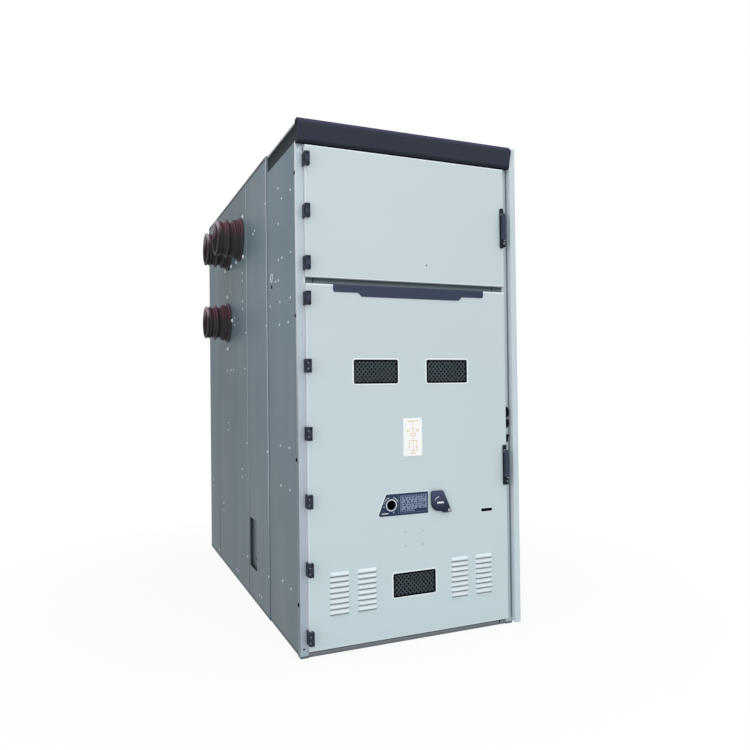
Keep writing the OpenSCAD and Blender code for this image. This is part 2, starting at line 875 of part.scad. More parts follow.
// Round front of a louvre hood: outer radius r, ends drawn in to half width w
module hood_form(r, w, taper, back) {
  intersection() {
    translate([-louvre_w, louvre_hood_r - louvre_out, 0]) rotate([0, 90, 0])
      cylinder(r = r, h = 2 * louvre_w);
    linear_extrude(2 * louvre_h)
      polygon([[-w, back], [w, back], [w - taper, -louvre_out - eps], [taper - w, -louvre_out - eps]]);
  }
}

module louvre_hood() {
  hood_form(louvre_hood_r, louvre_w / 2, hood_taper, sheet_t / 2);
}

module louvre_void() {
  hood_form(louvre_hood_r - sheet_t, louvre_w / 2 - sheet_t, hood_taper, sheet_t + eps);
}

module lower_door() {
  color("LightGray")
    difference() {
      union() {
        front_pan(door_face, -door_half, door_half, door_foot, lower_top, door_d);
        for (x = louvre_places, i = [0 : louvre_count - 1])
          translate([x, door_face, louvre_z + louvre_pitch * i]) louvre_hood();
      }
      for (x = louvre_places, i = [0 : louvre_count - 1])
        translate([x, door_face, louvre_z + louvre_pitch * i]) louvre_void();
      for (p = window_places)
        on_door(-sheet_t - eps, p[0], p[1])
          linear_extrude(sheet_t + 2 * eps) rounded_area(window_w, window_h, window_r);
      on_door(-sheet_t - eps, crank_x, crank_z)
        cylinder(r = crank_neck_r + run_gap, h = sheet_t + 2 * eps);
      on_door(-sheet_t - eps, slot_x, slot_z)
        linear_extrude(sheet_t + 2 * eps) rounded_area(slot_l, slot_h, slot_h / 2 - eps);
    }
}

// Handle base with its lock housing
module handle_base() {
  lock_low = lock_margin - handle_l / 2;
  lock_h = lever_pin_z - lever_l - lever_lock_gap - lock_low;
  difference() {
    union() {
      linear_extrude(handle_base_t) rounded_area(handle_w, handle_l, handle_r);
      translate([-lock_w / 2, lock_low, handle_base_t - eps]) rotate([90, 0, 90])
        linear_extrude(lock_w)
          polygon(rounded_outline(
            [[0, 0], [lock_h, 0], [lock_h, lock_out + eps], [lock_chamfer, lock_out + eps],
              [0, lock_out + eps - lock_chamfer]],
            [0, 0, lock_chamfer / 2, lock_chamfer, lock_chamfer]));
    }
    translate([0, lever_pin_z, handle_base_t - spigot_l - run_gap])
      cylinder(r = spigot_r + run_gap, h = spigot_l + eps);
  }
}

// Turning hub of a handle: disc, spigot, ear and cross pin
module handle_hub() {
  pin_out = handle_base_t + lever_pin_out;
  translate([0, lever_pin_z, handle_base_t]) {
    cylinder(r = hub_r, h = hub_t);
    translate([0, 0, -spigot_l]) cylinder(r = spigot_r, h = spigot_l + eps);
  }
  box([-ear_w / 2, lever_pin_z - ear_r, handle_base_t + hub_t - eps],
    [ear_w / 2, lever_pin_z + ear_r, pin_out]);
  translate([-ear_w / 2, lever_pin_z, pin_out]) rotate([0, 90, 0]) cylinder(r = ear_r, h = ear_w);
  translate([-lever_w / 2, lever_pin_z, pin_out]) rotate([0, 90, 0])
    cylinder(r = lever_pin_r, h = lever_w);
}

// Swelling line of a lever's front, s from 0 at the pin to 1 at the free end
function lever_front(s) =
  lever_end_r + lever_swell * sin(90 * min(1, s / lever_crown)) - lever_drop * s * s;

// Side outline of a lever about its pin, x along the lever, y forward
lever_outline = concat(
  [for (i = [0 : lever_points]) [-lever_l * i / lever_points, lever_front(i / lever_points)]],
  [[-lever_l, -lever_back], [0, -lever_back]]);

// Lever hanging from the hub's pin, hollow at its back
module handle_lever() {
  translate([0, lever_pin_z, handle_base_t + lever_pin_out])
    difference() {
      rotate([90, 0, 90]) {
        translate([0, 0, -lever_w / 2]) cylinder(r = lever_end_r, h = lever_w);
        translate([0, 0, -lever_w / 2])
          linear_extrude(lever_w) polygon(lever_outline);
      }
      translate([-lever_slot_w / 2, 0, 0]) rotate([90, 0, 90])
        linear_extrude(lever_slot_w)
          polygon(concat(
            [[lever_end_r + eps, lever_end_r - lever_t]],
            [for (i = [0 : lever_points - 2])
              [-lever_l * i / lever_points, lever_front(i / lever_points) - lever_t]],
            [[-lever_l * (lever_points - 2) / lever_points, -lever_end_r - eps],
              [lever_end_r + eps, -lever_end_r - eps]]));
      translate([-lever_w, 0, 0]) rotate([0, 90, 0])
        cylinder(r = lever_pin_r + run_gap, h = 2 * lever_w);
    }
}

module upper_handle_base() {
  color("MidnightBlue") on_door(0, handle_x, upper_handle_mid) handle_base();
}

module upper_handle_hub() {
  color("DimGray") on_door(0, handle_x, upper_handle_mid) handle_hub();
}

module upper_handle_lever() {
  color("MidnightBlue") on_door(0, handle_x, upper_handle_mid) handle_lever();
}

module lower_handle_base() {
  color("MidnightBlue") on_door(0, handle_x, lower_handle_z) handle_base();
}

module lower_handle_hub() {
  color("DimGray") on_door(0, handle_x, lower_handle_z) handle_hub();
}

module lower_handle_lever() {
  color("MidnightBlue") on_door(0, handle_x, lower_handle_z) handle_lever();
}

module name_strip() {
  slant = strip_mid_h - strip_end_h;
  end = strip_l / 2;
  middle = strip_mid_l / 2;
  color("DarkSlateBlue")
    on_door(0, 0, lower_top - bend_r) linear_extrude(plate_t)
      polygon(rounded_outline(
        [[-end, 0], [-end, -strip_end_h], [-middle - slant, -strip_end_h], [-middle, -strip_mid_h],
          [middle, -strip_mid_h], [middle + slant, -strip_end_h], [end, -strip_end_h], [end, 0]],
        [0, plate_corner, plate_small_corner, plate_small_corner,
          plate_small_corner, plate_small_corner, plate_corner, 0]));
}

module window_panes() {
  color("DarkSlateGray", 0.6)
    for (p = window_places)
      on_door(-sheet_t - pane_t, p[0], p[1])
        linear_extrude(pane_t)
          square([window_w + 2 * pane_lap, window_h + 2 * pane_lap], center = true);
}

// Diamond mesh sheet: staggered diamonds cut from a plain sheet
module window_meshes() {
  columns = floor(window_w / mesh_w / 2);
  rows = floor(window_h / mesh_h / 2);
  color("Gray")
    for (p = window_places)
      on_door(-sheet_t - pane_t - mesh_t, p[0], p[1])
        linear_extrude(mesh_t)
          difference() {
            square([window_w + 2 * pane_lap, window_h + 2 * pane_lap], center = true);
            for (c = [-columns : columns], r = [-rows : rows], half = [0, 0.5])
              if ((c + half) * mesh_w < window_w / 2 && (r + half) * mesh_h < window_h / 2)
                translate([(c + half) * mesh_w, (r + half) * mesh_h])
                  polygon([[-(mesh_w - mesh_strand) / 2, 0], [0, -(mesh_h - mesh_strand) / 2],
                    [(mesh_w - mesh_strand) / 2, 0], [0, (mesh_h - mesh_strand) / 2]]);
          }
}

module control_plate() {
  color("DarkSlateBlue")
    difference() {
      on_door(0, 0, control_z) linear_extrude(plate_t)
        polygon(rounded_outline(
          [[control_left, 0], [control_right, 0], [control_right, control_h],
            [control_left + control_lean, control_h]],
          [plate_corner, plate_small_corner, plate_small_corner, plate_corner]));
      on_door(-eps, crank_x, crank_z) cylinder(r = crank_neck_r + run_gap, h = plate_t + 2 * eps);
    }
}

module crank_guide() {
  depth = plate_t + door_d / 2;
  color("Silver")
    difference() {
      union() {
        on_door(plate_t, crank_x, crank_z) cylinder(r = crank_flange_r, h = crank_flange_t);
        on_door(plate_t - depth, crank_x, crank_z) cylinder(r = crank_neck_r, h = depth + eps);
      }
      on_door(plate_t - depth - eps, crank_x, crank_z)
        cylinder(r = crank_r, h = depth + crank_flange_t + 2 * eps);
    }
}

// Trip cover about its pivot: round part, squared upper corner and a tail with a padlock hole
module trip_cover() {
  top = control_h - trip_z;
  color("DarkSlateBlue")
    on_door(trip_gap, trip_x, trip_pivot_z)
      difference() {
        union() {
          linear_extrude(trip_t) {
            circle(trip_r);
            polygon(rounded_outline(
              [[-trip_r, 0], [-trip_r, top], [trip_r / 2, top],
                [trip_tail_x, plate_corner - trip_tail_z],
                [trip_tail_x, -trip_tail_z], [trip_r / 2, -trip_tail_z]],
              [0, plate_corner, plate_corner, plate_small_corner, plate_small_corner, plate_small_corner]));
          }
          translate([0, 0, trip_t])
            cylinder(r1 = trip_disc_r, r2 = trip_disc_r - trip_disc_t, h = trip_disc_t);
        }
        translate([0, 0, -eps]) cylinder(r = trip_pin_r + run_gap, h = trip_t - trip_front_wall + eps);
        translate([trip_tail_x - trip_hole_in, trip_hole_in - trip_tail_z, -eps])
          cylinder(r = trip_hole_r, h = trip_t + 2 * eps);
      }
}

// Boss on the door with the pin that the trip cover turns on
module trip_cover_pin() {
  color("Silver")
    on_door(0, trip_x, trip_pivot_z) {
      cylinder(r = trip_boss_r, h = trip_gap - run_gap);
      cylinder(r = trip_pin_r, h = trip_gap + trip_t - trip_front_wall - run_gap);
    }
}

module slot_trim() {
  color("Black") {
    on_door(0, slot_x, slot_z) linear_extrude(1) rounded_area(slot_l + 2, slot_h + 2, slot_h / 2);
    on_door(-sheet_t - 1, slot_x, slot_z)
      linear_extrude(sheet_t + 1 + eps / 2)
        rounded_area(slot_l - 2 * run_gap, slot_h - 2 * run_gap, slot_h / 2 - eps - run_gap);
  }
}

base_side_rails();
base_cross_rails();
floor_plate();
front_left_post();
front_right_post();
front_sill();
front_mid_rail();
front_top_rail();
left_front_panel();
left_middle_panel();
left_busbar_panel();
left_rear_panel();
right_side_panels();
right_cover_panels();
roof_panels();
header_lintel();
header_cheek();
rear_upper_cover();
rear_lower_cover();
breaker_partition();
instrument_box_floor();
instrument_box_back();
bushing_upper_front();
bushing_upper_rear();
bushing_lower();
upper_hinge_posts();
lower_hinge_posts();
latch_keepers();
upper_door();
upper_hinge_leaves();
upper_handle_base();
upper_handle_hub();
upper_handle_lever();
lower_door();
lower_hinge_leaves();
lower_handle_base();
lower_handle_hub();
lower_handle_lever();
name_strip();
window_panes();
window_meshes();
control_plate();
crank_guide();
trip_cover();
trip_cover_pin();
slot_trim();
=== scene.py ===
import math

import bmesh
import bpy
from bpy.props import FloatProperty, FloatVectorProperty, IntProperty, PointerProperty
from mathutils import Matrix, Vector

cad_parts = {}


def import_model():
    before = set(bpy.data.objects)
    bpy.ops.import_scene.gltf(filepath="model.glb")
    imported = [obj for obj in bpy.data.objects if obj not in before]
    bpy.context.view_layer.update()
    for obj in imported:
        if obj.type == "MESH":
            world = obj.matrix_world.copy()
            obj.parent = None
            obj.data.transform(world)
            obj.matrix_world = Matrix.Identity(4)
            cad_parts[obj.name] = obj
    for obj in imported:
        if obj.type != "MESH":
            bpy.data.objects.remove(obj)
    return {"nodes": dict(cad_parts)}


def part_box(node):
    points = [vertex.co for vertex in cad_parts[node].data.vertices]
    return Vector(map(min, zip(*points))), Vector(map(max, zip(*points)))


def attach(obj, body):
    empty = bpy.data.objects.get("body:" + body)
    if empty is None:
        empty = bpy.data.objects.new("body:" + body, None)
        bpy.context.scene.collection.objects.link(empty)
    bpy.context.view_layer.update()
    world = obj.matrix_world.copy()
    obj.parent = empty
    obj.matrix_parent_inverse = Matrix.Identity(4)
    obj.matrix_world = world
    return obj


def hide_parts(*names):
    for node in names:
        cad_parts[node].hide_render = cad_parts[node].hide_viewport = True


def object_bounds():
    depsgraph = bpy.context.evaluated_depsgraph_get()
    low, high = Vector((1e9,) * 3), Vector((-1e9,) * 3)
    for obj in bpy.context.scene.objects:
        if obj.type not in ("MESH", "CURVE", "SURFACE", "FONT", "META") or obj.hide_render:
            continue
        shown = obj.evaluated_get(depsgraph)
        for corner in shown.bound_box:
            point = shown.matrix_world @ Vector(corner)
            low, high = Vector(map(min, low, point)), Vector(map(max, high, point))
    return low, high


bl_info = {
    "name": "Switchgear Panel Dresser",
    "version": (1, 0, 0),
    "blender": (4, 5, 0),
    "location": "3D View > Sidebar > Switchgear",
    "description": "Finishes, fasteners and printed marks for a floor standing switchgear panel",
    "category": "Object",
}

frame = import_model()
CAD_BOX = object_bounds()

MM = 0.001
FULL_TURN = 360


def mm(*sizes):
    """Sizes in mm, turned to metres."""
    return tuple(size * MM for size in sizes)


# Faces of the cabinet that the loose pieces sit on
LEFT_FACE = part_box("front_left_post")[0].x
STEP_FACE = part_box("left_busbar_panel")[0].x
STEP_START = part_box("left_middle_panel")[0].y
FRONT_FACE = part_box("front_left_post")[0].y
DOOR_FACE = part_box("upper_door")[0].y
PLATE_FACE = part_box("control_plate")[0].y
TRIP_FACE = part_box("trip_cover")[0].y
RAIL_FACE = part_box("front_mid_rail")[0].y
SILL_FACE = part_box("front_sill")[0].y
REAR_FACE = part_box("rear_upper_cover")[1].y
ROOF_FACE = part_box("roof_panels")[1].z
FRONT_ROOF_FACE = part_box("instrument_box_back")[1].z

# Places on the left wall, in mm behind the front posts and above the floor
WALL_RIVETS = (
    (330, 2350), (98, 2280), (260, 2280), (330, 2162), (100, 1972), (265, 1972), (335, 1972),
    (335, 1865), (390, 1865), (115, 1748), (315, 1748), (515, 1748), (160, 1630), (325, 1630),
    (160, 998), (330, 998), (155, 788), (325, 788), (155, 295), (310, 295),
    (600, 2334), (600, 1646), (600, 940), (600, 242), (1125, 1646), (1135, 948), (1140, 232),
    (868, 2238), (905, 2227), (1225, 2039), (1225, 1988), (1225, 1855), (1225, 1808),
    (1275, 768), (1275, 718), (1740, 1048), (1740, 995), (1940, 445), (1940, 390), (2360, 565),
    (2360, 515), (780, 75), (830, 75), (1440, 65), (1490, 65), (2140, 52), (1170, 1420),
    (1540, 1420), (1620, 1420), (1760, 1420), (1490, 1776), (1490, 1726),
)
WALL_HOLES = ((25, 2345), (30, 1650), (35, 950), (25, 252), (480, 1848))
RING_PLUG = (480, 1898)
BUSHING_STRIP = (1640, 2035)
# Bolts round each bushing, in mm behind and above its middle
SQUARE_BOLTS = ((-108, 126), (108, 126), (-108, -130), (108, -130))
DIAMOND_BOLTS = ((-162, 3), (162, 3), (-2, 183), (3, -184))
BUSHING_BOLTS = {
    "bushing_upper_front": SQUARE_BOLTS, "bushing_upper_rear": SQUARE_BOLTS, "bushing_lower": DIAMOND_BOLTS,
}
# How much larger the bushing bolts are than the rear ones
BUSHING_BOLT_SCALE = 1.1
# Length, width, corner radius and thickness of the strip beside a bushing
BUSHING_STRIP_SIZE = mm(170, 9, 0, 1.2)
# Plate behind the wall opening: front, rear, foot and top, then its depth behind the wall and thickness
OPENING_PLATE = mm(870, 1082, 170, 520)
OPENING_PLATE_DEPTH, OPENING_PLATE_T = mm(22, 1.5)
# Hole in that plate: behind the front posts, above the floor, depth behind the wall and radius
BACKING_HOLE = mm(968, 252, 20.5, 12)
# Turned profiles of the ring plug: shares of its radius and heights in mm
PLUG_RING = ((0.74, 0), (0.78, 2.2), (0.88, 3), (1, 1.6), (1, 0), (0.74, 0))
PLUG_CAP = ((0, 1.2), (0.5, 1.1), (0.74, 0.5), (0.74, 0), (0, 0))
PLUG_STEPS = 32
# Painted highlights on the folded edges of the wall panels: width in mm and share of white, then their seat
# and thickness
FOLD_HIGHLIGHTS = {"left_middle_panel": (9, 0.62), "left_busbar_panel": (8, 0.4), "left_rear_panel": (6, 0.2)}
SEAM_SEAT, SEAM_T = mm(1, 2)

# Places on the front, in mm from the cabinet's left side and above the floor
POST_SCREW = (13, 2448)
POST_HOLE = (17, 45)
LOWER_DOOR_RIVETS = ((550, 561), (550, 490), (652, 561), (652, 490))
UPPER_DOOR_RIVET = (689, 1924)
LABEL_MIDDLE = (597, 1040)
WINDOW_MIDDLES = ((399, 1375), (801, 1375), (600, 296))
# Dark slots in the front frame: place and face, then width, height, corner radius and thickness
FRONT_SLOTS = (
    (34, 2452, FRONT_FACE, mm(4, 16, 1.9, 0.5)), (80, 1818, RAIL_FACE, mm(4, 30, 1, 0.5)),
    (1097, 1818, RAIL_FACE, mm(4, 30, 1, 0.5)), (1123, 17, SILL_FACE, mm(7, 16, 2, 0.5)),
)
POST_HOLE_R = 4.5 * MM
# How much larger the post screw and the upper door's rivet are than the wall and lower door rivets
POST_SCREW_SCALE = 1.2
UPPER_RIVET_SCALE = 1.4
# Segments of the smallest heads, and of small rings and locks
SMALL_STEPS = 12
RING_STEPS = 24
# Width and thickness of the dark strip beside the right post, painted shade in the corner gap
RIGHT_SEAM_W, RIGHT_SEAM_T = mm(9, 0.6)
# Cap over the upper edge of the name strip: lap at both ends, corner radius and thickness
CAP_LAP, CAP_R, CAP_T = mm(0.5, 0.8, 2.6)
# Windows: width and height, then corner radius and thickness of the rim
WINDOW_W, WINDOW_H, WINDOW_R, RIM_T = mm(240, 120, 8, 0.8)
# Corner radius, width and thickness of the gaskets and of the rim round the slot
GASKET_W = 7 * MM
GASKET = (4 * MM, GASKET_W, 0.6 * MM)
SLOT_RIM = mm(4, 3, 0.6)
# Wire mesh: pitch across and up, and width of a strand
MESH_SIZES = mm(22, 25, 4)
# Painted louvre shadows: middles of the groups, middle of the lowest shadow, count and pitch, in mm
LOUVRE_GROUPS = (192, 338, 862, 1008)
LOUVRE_FOOT = 196.75
LOUVRE_COUNT = 8
LOUVRE_PITCH = 26.2
# Width, height, corner radius and thickness of a painted louvre shadow
LOUVRE_SHADOW = mm(98, 8.5, 1.5, 0.4)
# Hinge screws: in from the leaf's side, and above and below its middle
HINGE_SCREW_IN, HINGE_SCREW_RISE = mm(4, 14)
# Hinge rings, painted highlights of a pressed ring: in from the leaf's side and below its middle, then the
# radii
HINGE_RING_IN, HINGE_RING_DROP = mm(8, 2)
HINGE_RING_R = mm(5.4, 7.8)
# Turned profile of a lock cylinder: radii and heights
LOCK_PROFILE = (mm(0, 1.6), mm(4.6, 1.6), mm(5, 1), mm(6.2, 1), mm(6.6, 0), mm(6.6, -1), mm(0, -1))
LOCK_RISE = 22 * MM
# Width, height, corner radius and thickness of a keyway
KEYWAY = mm(1.6, 6, 0.7, 2)

# Lines of the diagram: middle across and up from the label's middle, width and height, in mm
DIAGRAM_LINES = (
    (0, 82, 62, 3), (0, 60, 2, 26), (0, 44, 22, 2), (0, 30, 2, 24), (-12, 14, 2, 14), (12, 14, 2, 14),
    (0, 20, 26, 2), (0, 6, 26, 2), (0, -6, 2, 20), (0, -18, 44, 2), (-21, -30, 2, 22), (21, -30, 2, 22),
    (0, -34, 2, 30), (-21, -46, 12, 2), (-21, -51, 8, 2), (-21, -56, 4, 2), (21, -46, 14, 2),
    (21, -54, 14, 2), (21, -64, 2, 18), (0, -58, 2, 14), (0, -84, 30, 2),
)
# Rings of the diagram: middle across and up from the label's middle, in mm
DIAGRAM_RINGS = ((-26, 34), (26, 34), (0, -70))
DIAGRAM_RING_R = mm(5.6, 7.6)
LABEL_R, LABEL_T = mm(1.5, 5)

# Printed field of the control plate, in mm, with its rows
FIELD_LEFT = 523
FIELD_TOP = 746
FIELD_W = 148
FIELD_SHORT_W = 78
FIELD_ROWS = 7
FIELD_ROW_H = 11.5
# Bars in the rows, in mm: margins, height, least length and gap with what they grow by, and shift
BAR_START = 4
BAR_END = 8
BAR_H = 6.4
BAR_LENGTH, LENGTH_STEP = 5, 2
BAR_GAP, GAP_STEP = 6, 5
BAR_SHIFT = 1.6
# Lines on the control plate: place in mm, then width and height, with corner radius and rim
DIVIDER, DIVIDER_SIZE = (511, 703), mm(3.4, 98, 0)
FIELD_LINE, FIELD_LINE_SIZE = (598, 703), mm(150, 84, 1, 3)
WHITE_BAR, WHITE_BAR_SIZE = (437, 662), mm(36, 4, 0)
# Arcs round the crank hole: start and sweep in degrees, then radii of the arcs and of the ring
CRANK_ARCS = ((106, 46), (160, 8), (186, 8), (21, 53), (-9, 8), (284, 14))
CRANK_ARC_R = mm(38, 41)
CRANK_RING_R = mm(25.6, 29.8)
CRANK_RING_STEPS = 40
# Border of the control plate: reach and lean of its left side, then corner radius, half width and thickness
BORDER_REACH, BORDER_LEAN = mm(9, 49)
BORDER = mm(8, 3, 1.2)
# Marks on the trip cover: places in mm, then radii and turn of the arc, size of the tag, radii of the liner
TRIP_ARC, TRIP_ARC_R, TRIP_ARC_TURN = (738, 698), mm(29, 32), (96, 54)
TRIP_TAG, TRIP_TAG_SIZE = (743, 698), mm(37, 9, 1)
TRIP_LINER, TRIP_LINER_R = (797, 655), mm(4.2, 7.4)
# Depth of the trip cover's padlock tab behind its face
TRIP_TAB_DEPTH = 4 * MM

# Bolts of the rear covers, in mm from the cabinet's left side and above the floor
REAR_BOLT_COLUMNS = (30, 410, 790, 1170)
REAR_BOLT_ROWS = (60, 480, 880, 1260, 1345, 1760, 2170, 2560)
REAR_FULL_ROWS = (60, 1260, 1345, 2560)


def srgb(red, green, blue):
    """Linear colour of a screen colour given as 0 to 255."""
    shares = (channel / 255 for channel in (red, green, blue))
    return tuple(s / 12.92 if s <= 0.04045 else ((s + 0.055) / 1.055) ** 2.4 for s in shares)


def colour_setting(label, text, *screen):
    """Colour property, its default given as a screen colour."""
    return FloatVectorProperty(
        name=label, description=text, subtype="COLOR", size=3, min=0.0, max=1.0, default=srgb(*screen)
    )


def length_setting(label, text, default):
    """Length property in metres."""
    return FloatProperty(name=label, description=text, unit="LENGTH", min=0.0, default=default)


def place_setting(label, text, *default):
    """Place property in metres."""
    return FloatVectorProperty(name=label, description=text, unit="LENGTH", size=3, default=default)


def angle_setting(label, text, degrees):
    """Angle property, its default given in degrees."""
    return FloatProperty(name=label, description=text, unit="ROTATION", default=math.radians(degrees))


def power_setting(label, text, default):
    """Power property of a lamp."""
    return FloatProperty(name=label, description=text, unit="POWER", default=default)


class SwitchgearColours(bpy.types.PropertyGroup):
    """Colours of the finishes."""

    door: colour_setting("Door", "Powder coat on doors and cover panels", 197, 211, 216)
    # Lighter tint towards the foot of the doors, painted light
    door_foot_lit: colour_setting("Door foot", "Powder coat near the foot of the doors", 202, 221, 226)
    post: colour_setting("Post", "Powder coat on the left front post", 193, 207, 217)
    # A darker copy of the post's coat, painted shade on the right post
    far_post_shaded: colour_setting("Far post", "Powder coat on the right front post", 180, 193, 199)
    rail: colour_setting("Rail", "Powder coat on the middle rail", 102, 117, 124)
    sill: colour_setting("Sill", "Powder coat on the sill", 138, 146, 152)
    sheet: colour_setting("Sheet", "Coated sheet of the walls and roof", 111, 131, 141)
    # Darker than the wall sheet, as painted shade inside the cabinet
    inner: colour_setting("Inner sheet", "Bare coated sheet inside the cabinet", 88, 94, 97)
    base: colour_setting("Base", "Paint on the base rails", 92, 98, 102)
    header: colour_setting("Header", "Paint on the header and its cheek", 57, 62, 73)
    fitting: colour_setting("Fitting", "Moulded hinges and handles", 38, 45, 60)
    resin: colour_setting("Resin", "Cast resin of the bushings", 106, 78, 85)
    plate: colour_setting("Plate", "Face of the control plate", 42, 57, 82)
    strip: colour_setting("Strip", "Face of the name strip", 55, 63, 83)
    field: colour_setting("Field", "Printed field of the control plate", 122, 139, 166)
    print_white: colour_setting("White print", "White printed marks", 226, 230, 236)
    label: colour_setting("Label", "Face of the diagram label", 255, 255, 255)
    diagram: colour_setting("Diagram", "Lines of the diagram label", 204, 172, 70)
    zinc: colour_setting("Zinc", "Plated bolts, screws and rivets", 234, 243, 251)
    mesh: colour_setting("Mesh", "Painted wire mesh behind the panes", 116, 130, 138)
    pane: colour_setting("Pane", "Tint of the inspection panes", 22, 31, 38)
    black: colour_setting("Black", "Black plastic and dark holes", 10, 11, 13)


class SwitchgearSizes(bpy.types.PropertyGroup):
    """Sizes of the fasteners, marks and labels."""

    bolt_r: length_setting("Bolt", "Across the corners of a hexagon head, as a radius", 9 * MM)
    rivet_r: length_setting("Rivet", "Radius of a wall rivet", 6 * MM)
    dot_r: length_setting("Door rivet", "Radius of a small rivet in a door", 3 * MM)
    hole_r: length_setting("Hole", "Radius of a dark hole in the wall", 10 * MM)
    plug_r: length_setting("Plug", "Radius of the ring plug in the left wall", 25 * MM)
    screw_r: length_setting("Screw", "Radius of a hinge screw", 3.2 * MM)
    label_w: length_setting("Label width", "Width of the diagram label", 106 * MM)
    label_h: length_setting("Label height", "Height of the diagram label", 194 * MM)
    print_t: length_setting("Print", "Thickness of printed marks", 0.3 * MM)
    rim_w: length_setting("Window rim", "Width of the rim round a window", 7.5 * MM)
    round_steps: IntProperty(name="Round steps", description="Segments of a small round", min=6, default=16)


class SwitchgearStage(bpy.types.PropertyGroup):
    """Camera, floor and light."""

    camera_place: place_setting("Camera", "Place of the camera", -1.53675, -4.41845, 1.31854)
    camera_yaw: angle_setting("Yaw", "Turn of the camera to the right", 22.916)
    camera_pitch: angle_setting("Pitch", "Tilt of the camera upwards", 0.669)
    camera_roll: angle_setting("Roll", "Roll of the camera", -0.66)
    camera_lens: FloatProperty(name="Lens", description="Focal length in millimetres", default=32.782)
    floor_size: length_setting("Floor", "Half the side of the floor", 40.0)
    floor_colour: colour_setting("Floor colour", "Colour of the floor", 225, 225, 225)
    floor_glow: FloatProperty(name="Floor glow", description="Share of plain white in the floor", default=0.93)
    fade_start: length_setting("Fade start", "Distance at which the floor starts to fade to white", 1.3)
    fade_length: length_setting("Fade length", "Distance over which the floor fades to white", 1.3)
    sky: FloatProperty(name="Sky", description="Strength of the even light from all sides", default=0.52)
    key: power_setting("Key", "Power of the front lamp", 164.0)
    key_size: length_setting("Key size", "Side of the front lamp", 6.0)
    key_place: place_setting("Key place", "Place of the front lamp", 0.6, -8.5, 2.0)
    side: power_setting("Side", "Power of the lamp on the left", 130.0)
    side_size: length_setting("Side size", "Side of the lamp on the left", 5.0)
    side_place: place_setting("Side place", "Place of the lamp on the left", -7.5, -5.0, 3.0)
    top: power_setting("Top", "Power of the lamp above", 110.0)
    top_size: length_setting("Top size", "Side of the lamp above", 5.0)
    top_place: place_setting("Top place", "Place of the lamp above", 0.0, -3.6, 6.6)


def settings_of(context):
    """Colours and sizes of the scene."""
    return context.scene.switchgear_colours, context.scene.switchgear_sizes


class Value:
    """A number that varies over a surface. Sums and products of it add Math nodes."""

    def __init__(self, sheet, socket):
        self.sheet = sheet
        self.socket = socket

    def math(self, operation, first, second):
        return self.sheet.node("ShaderNodeMath", {"operation": operation}, {0: first, 1: second})

    def __add__(self, other):
        return self.math("ADD", self, other)

    def __radd__(self, other):
        return self.math("ADD", other, self)

    def __sub__(self, other):
        return self.math("SUBTRACT", self, other)

    def __rsub__(self, other):
        return self.math("SUBTRACT", other, self)

    def __mul__(self, other):
        return self.math("MULTIPLY", self, other)

    def __rmul__(self, other):
        return self.math("MULTIPLY", other, self)

    def __pow__(self, other):
        return self.math("POWER", self, other)

    def clamped(self):
        return self.math("MINIMUM", self.largest(0.0), 1.0)

    def largest(self, other):
        return self.math("MAXIMUM", self, other)


class NodeSheet:
    """A node tree that nodes are added to."""

    def __init__(self, tree):
        self.tree = tree

    def node(self, kind, settings=None, sockets=None, output=0):
        """Adds a node: its settings first, then the values or links of its sockets."""
        made = self.tree.nodes.new(kind)
        for setting, value in (settings or {}).items():
            setattr(made, setting, value)
        for socket, value in (sockets or {}).items():
            self.feed(made.inputs[socket], value)
        return Value(self, made.outputs[output])

    def feed(self, socket, value):
        """Links a varying value to a socket, or sets a constant on it."""
        if isinstance(value, Value):
            self.tree.links.new(value.socket, socket)
        elif socket.type == "RGBA":
            socket.default_value = (*value[:3], 1.0)
        else:
            socket.default_value = value

    def seen_directly(self):
        """Value that is 1 for rays from the camera, mirrors and glass."""
        camera, glossy, through = (
            self.node("ShaderNodeLightPath", output=f"Is {kind} Ray")
            for kind in ("Camera", "Glossy", "Transmission")
        )
        return camera.largest(glossy).largest(through)


